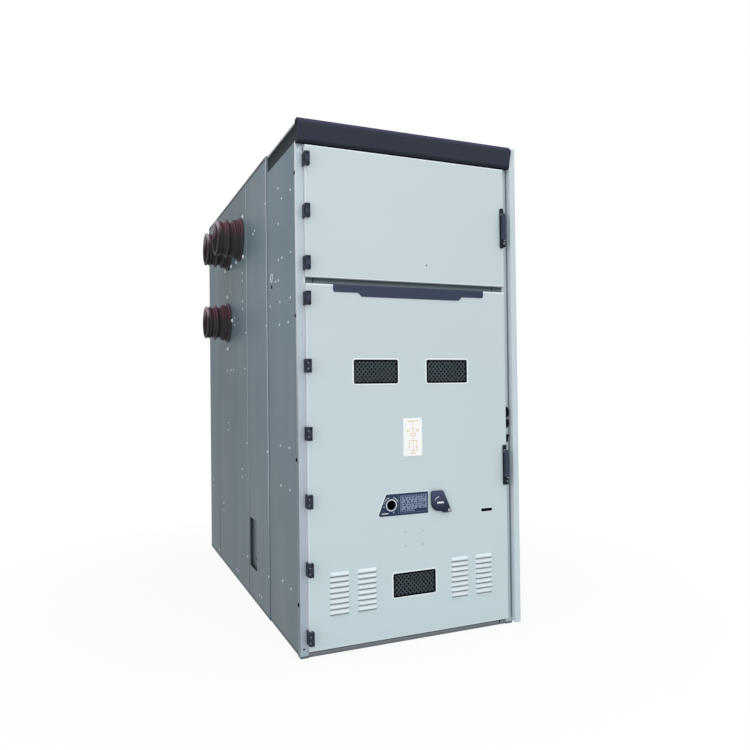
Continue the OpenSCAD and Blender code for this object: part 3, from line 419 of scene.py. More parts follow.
class Finish(NodeSheet):
    """One material and the nodes that give it its detail, laid over each other colour by colour."""

    def __init__(self, name):
        self.material = bpy.data.materials.new(name)
        self.material.use_nodes = True
        super().__init__(self.material.node_tree)
        self.surface = self.tree.nodes["Principled BSDF"]
        self.place = self.node("ShaderNodeTexCoord", output="Object")

    def put(self, **sockets):
        """Sets or links sockets of the surface shader, spaces written as underscores."""
        for socket, value in sockets.items():
            self.feed(self.surface.inputs[socket.replace("_", " ")], value)
        return self

    def mix(self, share, first, second):
        """Colour between two colours."""
        return self.node(
            "ShaderNodeMix", {"data_type": "RGBA"}, {0: share, 6: first, 7: second}, output=2
        )

    def cloudy(self, colour, share, dark, light):
        """Starts with a colour that varies between two shades of it."""
        self.colour = self.mix(share, shade(colour, dark), shade(colour, light))
        return self.put(Base_Color=self.colour)

    def over(self, share, colour):
        """Lays a colour over what is there, by a share that varies."""
        self.colour = self.mix(share, self.colour, colour)
        return self.put(Base_Color=self.colour)

    def noise(self, scale, detail=2.0, stretch=None):
        """Noise from 0 to 1, drawn out by stretch along each axis."""
        place = self.place
        if stretch:
            place = self.node("ShaderNodeMapping", sockets={"Vector": place, "Scale": stretch})
        return self.node("ShaderNodeTexNoise", sockets={"Vector": place, "Scale": scale, "Detail": detail})

    def along(self, axis, of=None):
        """Share of the place, or of another vector, along an axis."""
        return self.node("ShaderNodeSeparateXYZ", sockets={0: of or self.place}, output=axis)

    def ramp(self, axis, start, end):
        """Value that goes from 0 at start to 1 at end along an axis."""
        return ((self.along(axis) - start) * (1.0 / (end - start))).clamped()

    def facing(self, axis):
        """How far the surface faces along an axis of the piece, from -1 to 1."""
        return self.along(axis, self.node("ShaderNodeTexCoord", output="Normal"))

    def towards(self, axis, gain):
        """Mask of the faces that look along an axis, or against it by a gain below 0."""
        return (self.facing(axis) * gain).clamped()

    def soft_edges(self, radius):
        """Normal with the edges rounded. Keeps a mask that is 1 along them."""
        rounded = self.node("ShaderNodeBevel", {"samples": 6}, {"Radius": radius})
        flat = self.node("ShaderNodeNewGeometry", output="Normal")
        likeness = self.node(
            "ShaderNodeVectorMath", {"operation": "DOT_PRODUCT"}, {0: rounded, 1: flat}, output="Value"
        )
        self.edge = ((1.0 - likeness) * 5.0).clamped()
        return rounded

    def bump(self, height, strength, distance, normal=None):
        """Gives the surface a fine relief."""
        sockets = {"Strength": strength, "Distance": distance, "Height": height}
        if normal:
            sockets["Normal"] = normal
        return self.put(Normal=self.node("ShaderNodeBump", sockets=sockets))


def shade(colour, factor):
    """Colour made darker or lighter by a factor."""
    return tuple(min(1.0, channel * factor) for channel in colour)


def blend(first, second, share):
    """Colour between two constant colours."""
    return tuple(a + (b - a) * share for a, b in zip(first, second))


WHITE = (1.0, 1.0, 1.0)
BLACK = (0.0, 0.0, 0.0)
COOL_WHITE = srgb(236, 244, 251)
GREY = srgb(118, 122, 124)
DUST = srgb(150, 146, 138)
UNDERSIDE_SHADE = srgb(65, 65, 68)
MOUTH_HIGHLIGHT = srgb(186, 174, 184)
# Dark grey for painted shade lines along the floor and for dark lines along upper edges
DARK_LINE = srgb(52, 58, 61)
RESIN_TOP_HIGHLIGHT = srgb(146, 118, 124)
SHADED_FLANK = srgb(72, 80, 83)
ROLL_HIGHLIGHT = srgb(72, 73, 98)
TRIP_TOP_HIGHLIGHT = srgb(74, 80, 108)


def plain_coat(name, colour, floor_shade=0.8, foot=None):
    """Powder coat to build on: orange peel, cloudy tone, dust, a foot colour towards the floor where one is
    given, and a painted shade line along the floor.
    """
    finish = Finish(name)
    peel = finish.noise(620.0)
    scuff = finish.noise(9.0, 6.0, (1.0, 1.0, 0.35))
    rounded = finish.soft_edges(1.6 * MM)
    finish.cloudy(colour, finish.noise(1.7, 3.0), 0.96, 1.04)
    # Towards the foot the coat turns to the foot colour; on the doors that lighter tint is painted light
    finish.over(finish.ramp("Z", 1.7, 0.1) * 0.9, foot or colour)
    finish.over((peel - 0.5) * 0.25 + 0.12, shade(colour, 0.93))
    finish.over(finish.ramp("Z", 0.32, -0.13) * scuff * 0.06, DUST)
    # Painted shade: a dark line along the floor
    finish.over(finish.ramp("Z", 14 * MM, 8 * MM) * floor_shade, DARK_LINE)
    finish.put(Roughness=0.45 + (scuff - 0.5) * 0.14, Specular_IOR_Level=0.25)
    return finish.bump(peel, 0.16, 0.3 * MM, rounded)


def powder_coat(name, colour, edge_light=0.45, side_light=0.0, foot=None, rims=()):
    """Powder coat with painted highlights on its edges, on slopes that face up and, by side_light, on faces
    that look left, and painted shade on faces that look down.

    Each of the rims is a pair of heights between which the coat is painted lighter, as a painted highlight.
    """
    finish = plain_coat(name, colour, foot=foot)
    light = (finish.edge * edge_light).largest(finish.towards("Z", 3.0) * 0.8)
    light = light.largest(finish.towards("X", -2.0) * side_light)
    for start, end in rims:
        light = light.largest(finish.ramp("Z", start, end) * 0.75)
    # Painted highlights: edges, upward slopes, left-facing sides and rims turn near white
    finish.over(light, COOL_WHITE)
    # Painted shade on the faces that look down
    return finish.over(finish.towards("Z", -3.0) * 0.7, shade(colour, 0.4))


def fold_highlight_coat(name, colour, sheet):
    """Painted highlight on the folded edge of a wall panel, turning to a dull painted shade of the wall near
    the floor.
    """
    finish = plain_coat(name, colour)
    return finish.over(finish.ramp("Z", 0.8, 0.25) * 0.85, shade(sheet, 0.72))


def recessed_coat(name, colour, start, end):
    """Powder coat of a recessed rail, with painted highlights on its edges and a painted shadow towards the
    lip above it.
    """
    finish = plain_coat(name, colour, floor_shade=0.3)
    # Painted highlight along the edges, then a painted shadow towards the lip above
    finish.over(finish.edge * 0.2, blend(colour, WHITE, 0.5))
    return finish.over(finish.ramp("Z", start, end), shade(colour, 0.42))


def folded_post(name, colour, sheet):
    """Powder coat of the left post: painted shade towards the foot, a painted highlight on its fold high up
    and a dull side.

    It has a painted shadow under the header, and painted highlights beside the doors and on its edges high up.
    """
    finish = plain_coat(name, colour)
    high = finish.ramp("Z", 0.2, 2.5)
    # Painted shade towards the foot
    finish.over((1.0 - high) * 0.23, BLACK)
    door_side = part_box("front_left_post")[1].x
    # Painted highlight beside the doors
    doors = finish.ramp("X", door_side - 12 * MM, door_side - 5 * MM) * finish.ramp("Z", 40 * MM, 55 * MM)
    finish.over(doors * 0.7, COOL_WHITE)
    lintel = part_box("header_lintel")[0].z
    # Painted shadow under the header
    finish.over(finish.ramp("Z", lintel - 18 * MM, lintel + 4 * MM) * 0.7, shade(colour, 0.25))
    finish.over(finish.edge * high * 0.4, COOL_WHITE)
    # Painted highlight on the fold high up; the rest of the side is dull like the wall sheet
    fold = finish.ramp("Y", FRONT_FACE + 26 * MM, FRONT_FACE + 20 * MM) * finish.ramp("Z", 0.9, 2.0)
    return finish.over(finish.towards("X", -2.0), finish.mix(fold, shade(sheet, 0.9), COOL_WHITE))


def coated_sheet(name, colour, gloss=0.5, metal=0.0):
    """Zinc coated sheet: spangle, a fine vertical grain, cloudy tone and smears, with painted shade towards
    the foot, darker towards the rear, edges lighter as wear and as a painted highlight, and a painted shade
    line along the floor.
    """
    finish = Finish(name)
    grain = finish.noise(1.0, 3.0, (700.0, 700.0, 9.0))
    smear = finish.noise(5.0, 7.0, (1.0, 1.0, 0.22))
    spangle = finish.node(
        "ShaderNodeTexVoronoi", {"feature": "F1"}, {"Vector": finish.place, "Scale": 110.0}, output="Distance"
    )
    rounded = finish.soft_edges(1.8 * MM)
    finish.cloudy(colour, finish.noise(1.3, 4.0, (1.0, 1.0, 0.6)), 0.9, 1.1)
    # Painted shade towards the foot
    finish.over(finish.ramp("Z", 1.6, 0.2) * 0.7, blend(shade(colour, 0.72), GREY, 0.3))
    finish.over(finish.ramp("Y", -0.6, 0.3) * 0.9, shade(colour, 0.71))
    finish.over((grain - 0.5) * 0.4 + spangle * 0.14, shade(colour, 0.84))
    finish.over((smear - 0.52).clamped() * 0.45, shade(colour, 1.2))
    # Edges lighter, as wear and as a painted highlight
    finish.over(finish.edge * 0.22, blend(colour, WHITE, 0.5))
    # Painted shade: a dark line along the floor
    finish.over(finish.ramp("Z", 26 * MM, 18 * MM) * 0.7, DARK_LINE)
    finish.put(Metallic=metal, Specular_IOR_Level=0.22)
    finish.put(Roughness=gloss + (smear - 0.5) * 0.2 + (grain - 0.5) * 0.08)
    return finish.bump(grain, 0.08, 0.2 * MM, rounded)


def topped_sheet(name, colour, top):
    """Zinc coated sheet of the left wall, dark along its upper edge."""
    finish = coated_sheet(name, colour)
    return finish.over(finish.ramp("Z", top - 24 * MM, top - 18 * MM) * 0.9, DARK_LINE)


def inward_shaded_sheet(name, colour):
    """Zinc coated sheet of the right wall, with painted shade on the faces that look into the cabinet."""
    finish = coated_sheet(name, colour)
    return finish.over(finish.towards("X", -2.0), shade(colour, 0.3))


def roof_sheet(name, colour):
    """Zinc coated sheet with a dark upper edge, and a pale skirt over the cheek of the header."""
    finish = coated_sheet(name, colour)
    upright = 1.0 - finish.facing("Z").clamped()
    cheek_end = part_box("header_cheek")[1].y
    pale = finish.ramp("Y", cheek_end + 2 * MM, cheek_end - 2 * MM) * upright
    finish.over(pale, blend(colour, COOL_WHITE, 0.5))
    front_line = finish.ramp("Z", FRONT_ROOF_FACE - 8 * MM, FRONT_ROOF_FACE - 6 * MM)
    rear_line = finish.ramp("Z", ROOF_FACE - 9 * MM, ROOF_FACE - 7 * MM)
    return finish.over((front_line * pale).largest(rear_line) * upright, DARK_LINE)


def smooth_paint(name, colour, gloss, shine=0.12):
    """Dark enamel: fine peel, faint streaks, and edges lighter as rubbed paint and as a painted highlight."""
    finish = Finish(name)
    rub = finish.noise(26.0, 5.0, (0.3, 1.0, 1.0))
    rounded = finish.soft_edges(2.2 * MM)
    finish.cloudy(colour, finish.noise(2.3, 3.0), 0.88, 1.12)
    finish.over((rub - 0.55).clamped() * 0.6, shade(colour, 1.6))
    finish.over(finish.edge * 0.3, blend(colour, WHITE, 0.25))
    finish.put(Roughness=gloss + (rub - 0.5) * 0.16, Specular_IOR_Level=shine)
    return finish.bump(finish.noise(420.0), 0.14, 0.25 * MM, rounded)


def header_enamel(name, colour):
    """Dark enamel of the header: a painted highlight on its upper roll, painted shade on its lower edge, and
    its left-facing faces painted as a shaded grey-green copy, darker towards the top.
    """
    finish = smooth_paint(name, colour, 0.42, 0.0)
    low, high = (corner.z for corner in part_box("header_lintel"))
    finish.over(finish.ramp("Z", high - 18 * MM, high - 13 * MM) * 0.85, ROLL_HIGHLIGHT)
    finish.over(finish.ramp("Z", low + 18 * MM, low + 8 * MM) * 0.7, shade(colour, 0.35))
    dull = finish.mix(finish.ramp("Z", low + 20 * MM, high - 20 * MM), SHADED_FLANK, shade(SHADED_FLANK, 0.5))
    return finish.over(finish.towards("X", -2.0), dull)


def moulded_plastic(name, colour, gloss=0.5, edge_light=0.35, shine=0.2, edge_r=1.4 * MM):
    """Moulded plastic: a fine leather grain, and corners lighter as wear and as a painted highlight."""
    finish = Finish(name)
    grain = finish.noise(1500.0)
    rounded = finish.soft_edges(edge_r)
    finish.cloudy(colour, finish.noise(40.0, 3.0), 0.82, 1.2)
    finish.over(finish.edge * edge_light, blend(colour, WHITE, 0.3))
    finish.put(Roughness=gloss + (grain - 0.5) * 0.2, Specular_IOR_Level=shine)
    return finish.bump(grain, 0.2, 0.15 * MM, rounded)


def dull_black(name, colour):
    """Black rubber or the dark of a hole, without shine."""
    return moulded_plastic(name, colour, 0.8, 0.0, 0.0)


def graded_plastic(name, colour, upper, start, end):
    """Moulded plastic that turns to a painted highlight colour between two heights, with painted shade along
    its edges.
    """
    finish = moulded_plastic(name, colour, 0.5, 0.0, 0.1, 5 * MM)
    finish.over(finish.ramp("Z", start, end), upper)
    return finish.over(finish.edge * 0.9, shade(colour, 0.2))


def cast_resin(name, colour, node):
    """Cast resin of a bushing: cloudy maroon, turned ribs with painted shade in their grooves, a painted
    highlight on the top and the mouth, and painted shade over the lower half.
    """
    finish = Finish(name)
    low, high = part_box(node)
    middle, radius = (low.z + high.z) / 2, (high.z - low.z) / 2
    speck = finish.noise(240.0, 3.0)
    ribs = finish.node(
        "ShaderNodeTexWave", {"wave_type": "BANDS", "bands_direction": "X"},
        {"Vector": finish.place, "Scale": 22.0, "Distortion": 0.0},
    )
    finish.cloudy(colour, finish.noise(9.0, 4.0), 0.8, 1.2)
    # Painted shade in the grooves between the ribs
    finish.over((ribs ** 2.0) * 0.9, shade(colour, 0.16))
    finish.over((speck - 0.56).clamped() * 0.6, shade(colour, 1.6))
    # Painted highlight on the upward faces of the ribs
    finish.over((finish.facing("Z") * 1.5 - 0.6).clamped() * (1.0 - ribs) * 0.8, RESIN_TOP_HIGHLIGHT)
    mouth = finish.ramp("X", low.x + 20 * MM, low.x + 14 * MM)
    lit = mouth * finish.ramp("Z", middle + radius * 0.05, middle + radius * 0.5)
    finish.over(lit * 0.85, MOUTH_HIGHLIGHT)
    # Painted shade over the lower half
    finish.over(finish.ramp("Z", middle + radius * 0.4, middle - radius * 0.05) * 0.9, UNDERSIDE_SHADE)
    finish.put(Roughness=0.42 + (speck - 0.5) * 0.2, Specular_IOR_Level=0.02)
    return finish.bump(ribs, 0.5, 2.4 * MM)


def plated_metal(name, colour, gloss=0.4, metal=0.0):
    """Plated steel: turned marks and dull patches."""
    finish = Finish(name)
    patch = finish.noise(160.0, 4.0)
    finish.cloudy(colour, patch, 0.85, 1.1)
    finish.put(Metallic=metal, Roughness=gloss + (patch - 0.5) * 0.3)
    return finish.bump(finish.noise(1.0, 2.0, (900.0, 900.0, 60.0)), 0.1, 0.1 * MM)


def printed_ink(name, colour):
    """Screen printed ink with a little unevenness."""
    finish = Finish(name)
    patch = finish.noise(90.0, 4.0)
    finish.cloudy(colour, patch, 0.93, 1.03)
    finish.put(Roughness=0.55 + (patch - 0.5) * 0.15, Specular_IOR_Level=0.2)
    return finish.bump(finish.noise(900.0), 0.1, 0.05 * MM)


def tinted_pane(name, colour):
    """Tinted pane that lets the mesh behind it show."""
    finish = Finish(name)
    film = finish.noise(14.0, 4.0)
    finish.cloudy(colour, film, 0.7, 1.4)
    finish.put(Roughness=0.08 + film * 0.08, Alpha=0.16 + (film - 0.5) * 0.06)
    return finish.put(Specular_IOR_Level=0.06)


def dress(finish, *nodes):
    """Puts a finish on CAD nodes."""
    for node in nodes:
        data = frame["nodes"][node].data
        data.materials.clear()
        data.materials.append(finish.material)


def add_piece(name, shape, finish, body):
    """Turns a finished bmesh into a piece that rides on a body."""
    mesh = bpy.data.meshes.new(name)
    shape.to_mesh(mesh)
    shape.free()
    mesh.materials.append(finish.material)
    mesh.shade_smooth()
    mesh.set_sharp_from_angle(angle=math.radians(32))
    piece = bpy.data.objects.new(name, mesh)
    bpy.context.scene.collection.objects.link(piece)
    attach(piece, body)
    return piece


FACING_LEFT = Matrix.Rotation(math.radians(-90), 4, "Y")
FACING_FRONT = Matrix.Rotation(math.radians(90), 4, "X")
FACING_REAR = Matrix.Rotation(math.radians(-90), 4, "X")


def left_place(x, y, z):
    """Place that faces left, in metres."""
    return Matrix.Translation((x, y, z)) @ FACING_LEFT


def front_place(x, z, face):
    """Place on a front face, in metres."""
    return Matrix.Translation((x, face, z)) @ FACING_FRONT


def on_left_wall(depth, height):
    """Place on the left wall, depth behind the front posts and height above the floor in mm."""
    y = FRONT_FACE + depth * MM
    return left_place(LEFT_FACE if y < STEP_START else STEP_FACE, y, height * MM)


def on_front(across, height, face):
    """Place on a front face, across from the cabinet's left side and height above the floor in mm."""
    return front_place(LEFT_FACE + across * MM, height * MM, face)


def on_rear(across, height):
    """Place on the rear covers, across from the cabinet's left side in mm."""
    return Matrix.Translation((LEFT_FACE + across * MM, REAR_FACE, height * MM)) @ FACING_REAR


def middle_of(node):
    """Middle of a CAD node."""
    low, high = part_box(node)
    return (low + high) / 2


def before(node, face):
    """Place on a front face, in line with the middle of a CAD node."""
    middle = middle_of(node)
    return front_place(middle.x, middle.z, face)


def placed(shape, place):
    """Moves a bmesh to its place."""
    bmesh.ops.transform(shape, matrix=place, verts=shape.verts)
    return shape


def gather(parts):
    """One bmesh from pairs of a shape and its place."""
    whole = bmesh.new()
    carrier = bpy.data.meshes.new("carrier")
    for part, place in parts:
        placed(part, place).to_mesh(carrier)
        part.free()
        whole.from_mesh(carrier)
    bpy.data.meshes.remove(carrier)
    return whole


def scatter(template, places):
    """Copies of a template bmesh at each place, as one bmesh."""
    whole = gather([(template.copy(), place) for place in places])
    template.free()
    return whole


def edges_above(shape, level):
    """Edges that lie wholly above a level."""
    return [edge for edge in shape.edges if all(v.co.z > level for v in edge.verts)]


def soften(shape, parts, offset, segments, affect="EDGES"):
    """Rounds edges of a bmesh, or the corners of a flat one."""
    bmesh.ops.bevel(
        shape, geom=parts, offset=offset, offset_type="OFFSET", segments=segments,
        profile=0.5, affect=affect, material=-1,
    )


def outward(shape):
    """Turns the faces of a bmesh outwards."""
    bmesh.ops.recalc_face_normals(shape, faces=shape.faces)
    return shape


def lift(shape, thickness):
    """Raises a flat bmesh to a solid."""
    raised = bmesh.ops.extrude_face_region(shape, geom=shape.faces[:])["geom"]
    verts = [part for part in raised if isinstance(part, bmesh.types.BMVert)]
    bmesh.ops.translate(shape, vec=(0, 0, thickness), verts=verts)
    return outward(shape)


def hollow(shape, rim):
    """Leaves only a rim of a flat bmesh."""
    middle = shape.faces[:]
    bmesh.ops.inset_region(shape, faces=middle, thickness=rim, use_boundary=True, use_even_offset=True)
    bmesh.ops.delete(shape, geom=middle, context="FACES")


def spin(shape, parts, sweep, steps):
    """Spins parts of a bmesh about Z by degrees. A full turn closes."""
    bmesh.ops.spin(
        shape, geom=parts, cent=(0, 0, 0), axis=(0, 0, 1), angle=math.radians(sweep), steps=steps,
        use_merge=sweep == FULL_TURN,
    )
    bmesh.ops.remove_doubles(shape, verts=shape.verts, dist=1e-6)
    return outward(shape)


def add_disc(shape, steps, foot_r, top_r, foot, top):
    """Adds a round, or a hexagon of six steps, between two heights."""
    bmesh.ops.create_cone(
        shape, cap_ends=True, segments=steps, radius1=foot_r, radius2=top_r, depth=top - foot,
        matrix=Matrix.Translation((0, 0, (foot + top) / 2)),
    )


def hexagon_bolt(radius, steps):
    """Hexagon head on a washer, facing up."""
    shape = bmesh.new()
    washer_top, head_top = radius * 0.2, radius * 0.82
    add_disc(shape, steps, radius * 1.45, radius * 1.4, 0, washer_top)
    add_disc(shape, 6, radius, radius, washer_top, head_top)
    soften(shape, edges_above(shape, radius * 0.76), radius * 0.14, 2)
    return shape


def domed_rivet(radius, steps):
    """Low domed head, facing up."""
    shape = bmesh.new()
    height = radius * 0.5
    add_disc(shape, steps, radius, radius * 0.86, 0, height)
    soften(shape, edges_above(shape, height * 0.9), radius * 0.34, 3)
    return shape


def slotted_screw(radius, steps):
    """Round screw head with a cross slot, facing up."""
    shape = domed_rivet(radius, steps)
    for turn in (0, 90):
        bar = bmesh.ops.create_cube(shape, size=1.0)["verts"]
        bmesh.ops.scale(shape, vec=(radius * 1.1, radius * 0.22, radius * 0.2), verts=bar)
        bmesh.ops.translate(shape, vec=(0, 0, radius * 0.46), verts=bar)
        bmesh.ops.rotate(shape, matrix=Matrix.Rotation(math.radians(turn), 3, "Z"), verts=bar)
    return shape


def rimmed_hole(radius, steps):
    """Dark hole with a sunken middle and a thin rim, facing up."""
    shape = bmesh.new()
    bmesh.ops.create_circle(shape, cap_ends=True, segments=steps, radius=radius)
    lift(shape, radius * 0.16)
    top = [face for face in shape.faces if all(v.co.z > radius * 0.1 for v in face.verts)]
    bmesh.ops.inset_region(shape, faces=top, thickness=radius * 0.16, depth=-radius * 0.12)
    return outward(shape)


def turned_shape(profile, steps):
    """Solid turned about Z from a profile of radius and height."""
    shape = bmesh.new()
    points = [shape.verts.new((radius, 0, height)) for radius, height in profile]
    edges = [shape.edges.new(pair) for pair in zip(points, points[1:])]
    return spin(shape, points + edges, FULL_TURN, steps)


def arc_band(inner, outer, start, sweep, thickness, steps=18):
    """Flat band along an arc, angles in degrees, facing up. A full turn closes it to a ring."""
    shape = bmesh.new()
    points = [shape.verts.new((radius, 0, 0)) for radius in (inner, outer)]
    edge = shape.edges.new(points)
    bmesh.ops.rotate(shape, matrix=Matrix.Rotation(math.radians(start), 3, "Z"), verts=points)
    return lift(spin(shape, points + [edge], sweep, steps), thickness)


def rectangle(width, height, radius, corner_steps):
    """Flat rectangle, its corners rounded where it has a radius."""
    shape = bmesh.new()
    bmesh.ops.create_grid(shape, x_segments=1, y_segments=1, size=0.5)
    bmesh.ops.scale(shape, vec=(width, height, 1), verts=shape.verts)
    if radius:
        soften(shape, shape.verts[:], radius, corner_steps, "VERTICES")
    return shape


def rounded_plate(width, height, radius, thickness, corner_steps=4):
    """Flat plate with rounded corners and a soft upper edge, facing up."""
    shape = lift(rectangle(width, height, radius, corner_steps), thickness)
    soften(shape, edges_above(shape, thickness * 0.9), thickness * 0.3, 1)
    return outward(shape)


def rounded_frame(width, height, radius, rim, thickness):
    """Rim round a rounded rectangle, facing up."""
    shape = rectangle(width + 2 * rim, height + 2 * rim, radius + rim, 6)
    hollow(shape, rim)
    lift(shape, thickness)
    soften(shape, edges_above(shape, thickness * 0.9), thickness * 0.4, 2)
    return outward(shape)


def outline_frame(corners, radius, grow, thickness):
    """Rim round an outline of corners, grown and rounded, facing up."""
    shape = bmesh.new()
    grown = [(x + math.copysign(grow, x), y + math.copysign(grow, y), 0) for x, y in corners]
    shape.faces.new([shape.verts.new(corner) for corner in grown])
    soften(shape, shape.verts[:], radius, 4, "VERTICES")
    hollow(shape, grow * 2)
    return lift(shape, thickness)


def lattice(width, height, pitch_w, pitch_h, strand, thickness):
    """Slanting strands that cross over a rectangle, as pairs of a shape and its place, facing up."""
    slope = pitch_h / pitch_w
    run = height / 2 / slope
    reach = int((width / 2 + run) / pitch_w)
    pairs = []
    for lean in (1, -1):
        for column in range(-reach, reach + 1):
            foot = column * pitch_w
            start, end = max(-width / 2, foot - run), min(width / 2, foot + run)
            if end - start > strand:
                middle = (start + end) / 2
                length = (end - start) * math.hypot(1, slope)
                place = Matrix.Translation((middle, lean * slope * (middle - foot), 0))
                turn = Matrix.Rotation(lean * math.atan(slope), 4, "Z")
                pairs.append((rounded_plate(length, strand, 0, thickness), place @ turn))
    return pairs


def solids_of(node):
    """Boxes of the separate solids in a CAD node, found by walking its merged mesh."""
    shape = bmesh.new()
    shape.from_mesh(frame["nodes"][node].data)
    bmesh.ops.remove_doubles(shape, verts=shape.verts, dist=1e-6)
    left = set(shape.verts)
    boxes = []
    while left:
        island, waiting = set(), [next(iter(left))]
        while waiting:
            vert = waiting.pop()
            if vert not in island:
                island.add(vert)
                waiting += [edge.other_vert(vert) for edge in vert.link_edges]
        left -= island
        boxes.append(tuple(
            Vector([end(v.co[axis] for v in island) for axis in range(3)]) for end in (min, max)
        ))
    shape.free()
    return sorted(boxes, key=lambda pair: pair[0].z)


class SWITCHGEAR_OT_stage(bpy.types.Operator):
    """Pale floor, even studio light and the camera"""

    bl_idname = "switchgear.stage"
    bl_label = "Stage"

    def execute(self, context):
        stage = context.scene.switchgear_stage
        self.make_floor(context, stage)
        self.make_sky(context, stage)
        for lamp in ("key", "side", "top"):
            self.make_lamp(context, stage, lamp)
        self.make_camera(context, stage)
        context.scene.view_settings.view_transform = "Standard"
        return {"FINISHED"}

    def make_floor(self, context, stage):
        shape = bmesh.new()
        bmesh.ops.create_grid(shape, x_segments=8, y_segments=8, size=stage.floor_size)
        mesh = bpy.data.meshes.new("floor")
        shape.to_mesh(mesh)
        shape.free()
        floor = bpy.data.objects.new("floor", mesh)
        context.scene.collection.objects.link(floor)
        finish = Finish("floor_white")
        finish.put(Base_Color=stage.floor_colour, Roughness=0.9, Specular_IOR_Level=0.0)
        distance = finish.node(
            "ShaderNodeVectorMath", {"operation": "LENGTH"}, {0: finish.place}, output="Value"
        )
        far = ((distance - stage.fade_start) * (1.0 / stage.fade_length)).clamped()
        share = finish.seen_directly() * (stage.floor_glow + far * (1.0 - stage.floor_glow))
        painted = Value(finish, finish.surface.outputs[0])
        glow = finish.node("ShaderNodeEmission")
        either = finish.node("ShaderNodeMixShader", sockets={0: share, 1: painted, 2: glow})
        finish.feed(finish.tree.nodes["Material Output"].inputs["Surface"], either)
        mesh.materials.append(finish.material)

    def make_sky(self, context, stage):
        world = bpy.data.worlds.new("studio")
        world.use_nodes = True
        sheet = NodeSheet(world.node_tree)
        lit, shown = (
            sheet.node("ShaderNodeBackground", sockets={"Color": WHITE, "Strength": strength})
            for strength in (stage.sky, 1.0)
        )
        either = sheet.node("ShaderNodeMixShader", sockets={0: sheet.seen_directly(), 1: lit, 2: shown})
        sheet.feed(sheet.tree.nodes["World Output"].inputs["Surface"], either)
        context.scene.world = world

    def make_lamp(self, context, stage, name):
        lamp = bpy.data.lights.new(name, "AREA")
        lamp.energy = getattr(stage, name)
        lamp.size = getattr(stage, f"{name}_size")
        holder = bpy.data.objects.new(name, lamp)
        holder.location = getattr(stage, f"{name}_place")
        target = (CAD_BOX[0] + CAD_BOX[1]) / 2
        holder.rotation_euler = (target - holder.location).to_track_quat("-Z", "Y").to_euler()
        context.scene.collection.objects.link(holder)

    def make_camera(self, context, stage):
        data = bpy.data.cameras.new("camera")
        data.lens = stage.camera_lens
        data.sensor_width = 36.0
        camera = bpy.data.objects.new("camera", data)
        upright = Matrix.Rotation(math.radians(90) + stage.camera_pitch, 4, "X")
        turn = Matrix.Rotation(-stage.camera_yaw, 4, "Z")
        roll = Matrix.Rotation(stage.camera_roll, 4, "Z")
        camera.matrix_world = Matrix.Translation(stage.camera_place) @ turn @ upright @ roll
        context.scene.collection.objects.link(camera)
        context.scene.camera = camera


class SWITCHGEAR_OT_cabinet_finishes(bpy.types.Operator):
    """Finishes of the posts, doors, walls, roof, base and inner sheets"""

    bl_idname = "switchgear.cabinet_finishes"
    bl_label = "Cabinet finishes"

    def execute(self, context):
        colours, _ = settings_of(context)
        # Painted light on the doors and covers: their left-facing sides painted near white, and a lighter tint
        # towards the foot
        lights = {"side_light": 0.6, "foot": colours.door_foot_lit}
        covers = powder_coat("door_powder_coat", colours.door, **lights)
        dress(covers, "right_cover_panels", "front_top_rail")
        for node in ("upper_door", "lower_door"):
            low, high = (corner.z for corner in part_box(node))
            # Painted highlight bands along the lower and upper edges of each door
            rims = ((low + 8 * MM, low + 5 * MM), (high - 9 * MM, high - 6 * MM))
            dress(powder_coat(f"{node}_powder_coat", colours.door, rims=rims, **lights), node)
        dress(folded_post("post_powder_coat", colours.post, colours.sheet), "front_left_post")
        # The right post is painted darker, as painted shade
        dress(powder_coat("far_post_powder_coat", colours.far_post_shaded, 0.2), "front_right_post")
        rail, sill = middle_of("front_mid_rail").z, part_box("front_sill")[1].z
        dress(recessed_coat("rail_powder_coat", colours.rail, rail - 4 * MM, rail + 4 * MM), "front_mid_rail")
        dress(recessed_coat("sill_powder_coat", colours.sill, sill - 14 * MM, sill - 8 * MM), "front_sill")
        walls = topped_sheet("wall_sheet", colours.sheet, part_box("left_busbar_panel")[1].z)
        dress(
            walls, "left_front_panel", "left_middle_panel", "left_busbar_panel", "left_rear_panel",
            "rear_upper_cover", "rear_lower_cover",
        )
        dress(inward_shaded_sheet("right_wall_sheet", colours.sheet), "right_side_panels")
        dress(roof_sheet("roof_sheet", colours.sheet), "roof_panels")
        # The inner sheets are darkened as painted shade inside the cabinet
        inner = coated_sheet("inner_sheet", colours.inner, gloss=0.46, metal=0.1)
        dress(inner, "floor_plate", "breaker_partition", "instrument_box_floor", "instrument_box_back")
        dress(smooth_paint("base_paint", colours.base, 0.5), "base_side_rails", "base_cross_rails")
        return {"FINISHED"}


class SWITCHGEAR_OT_header_finish(bpy.types.Operator):
    """Dark enamel of the header and its cheek"""

    bl_idname = "switchgear.header_finish"
    bl_label = "Header finish"

    def execute(self, context):
        colours, _ = settings_of(context)
        dress(header_enamel("header_paint", colours.header), "header_lintel", "header_cheek")
        return {"FINISHED"}


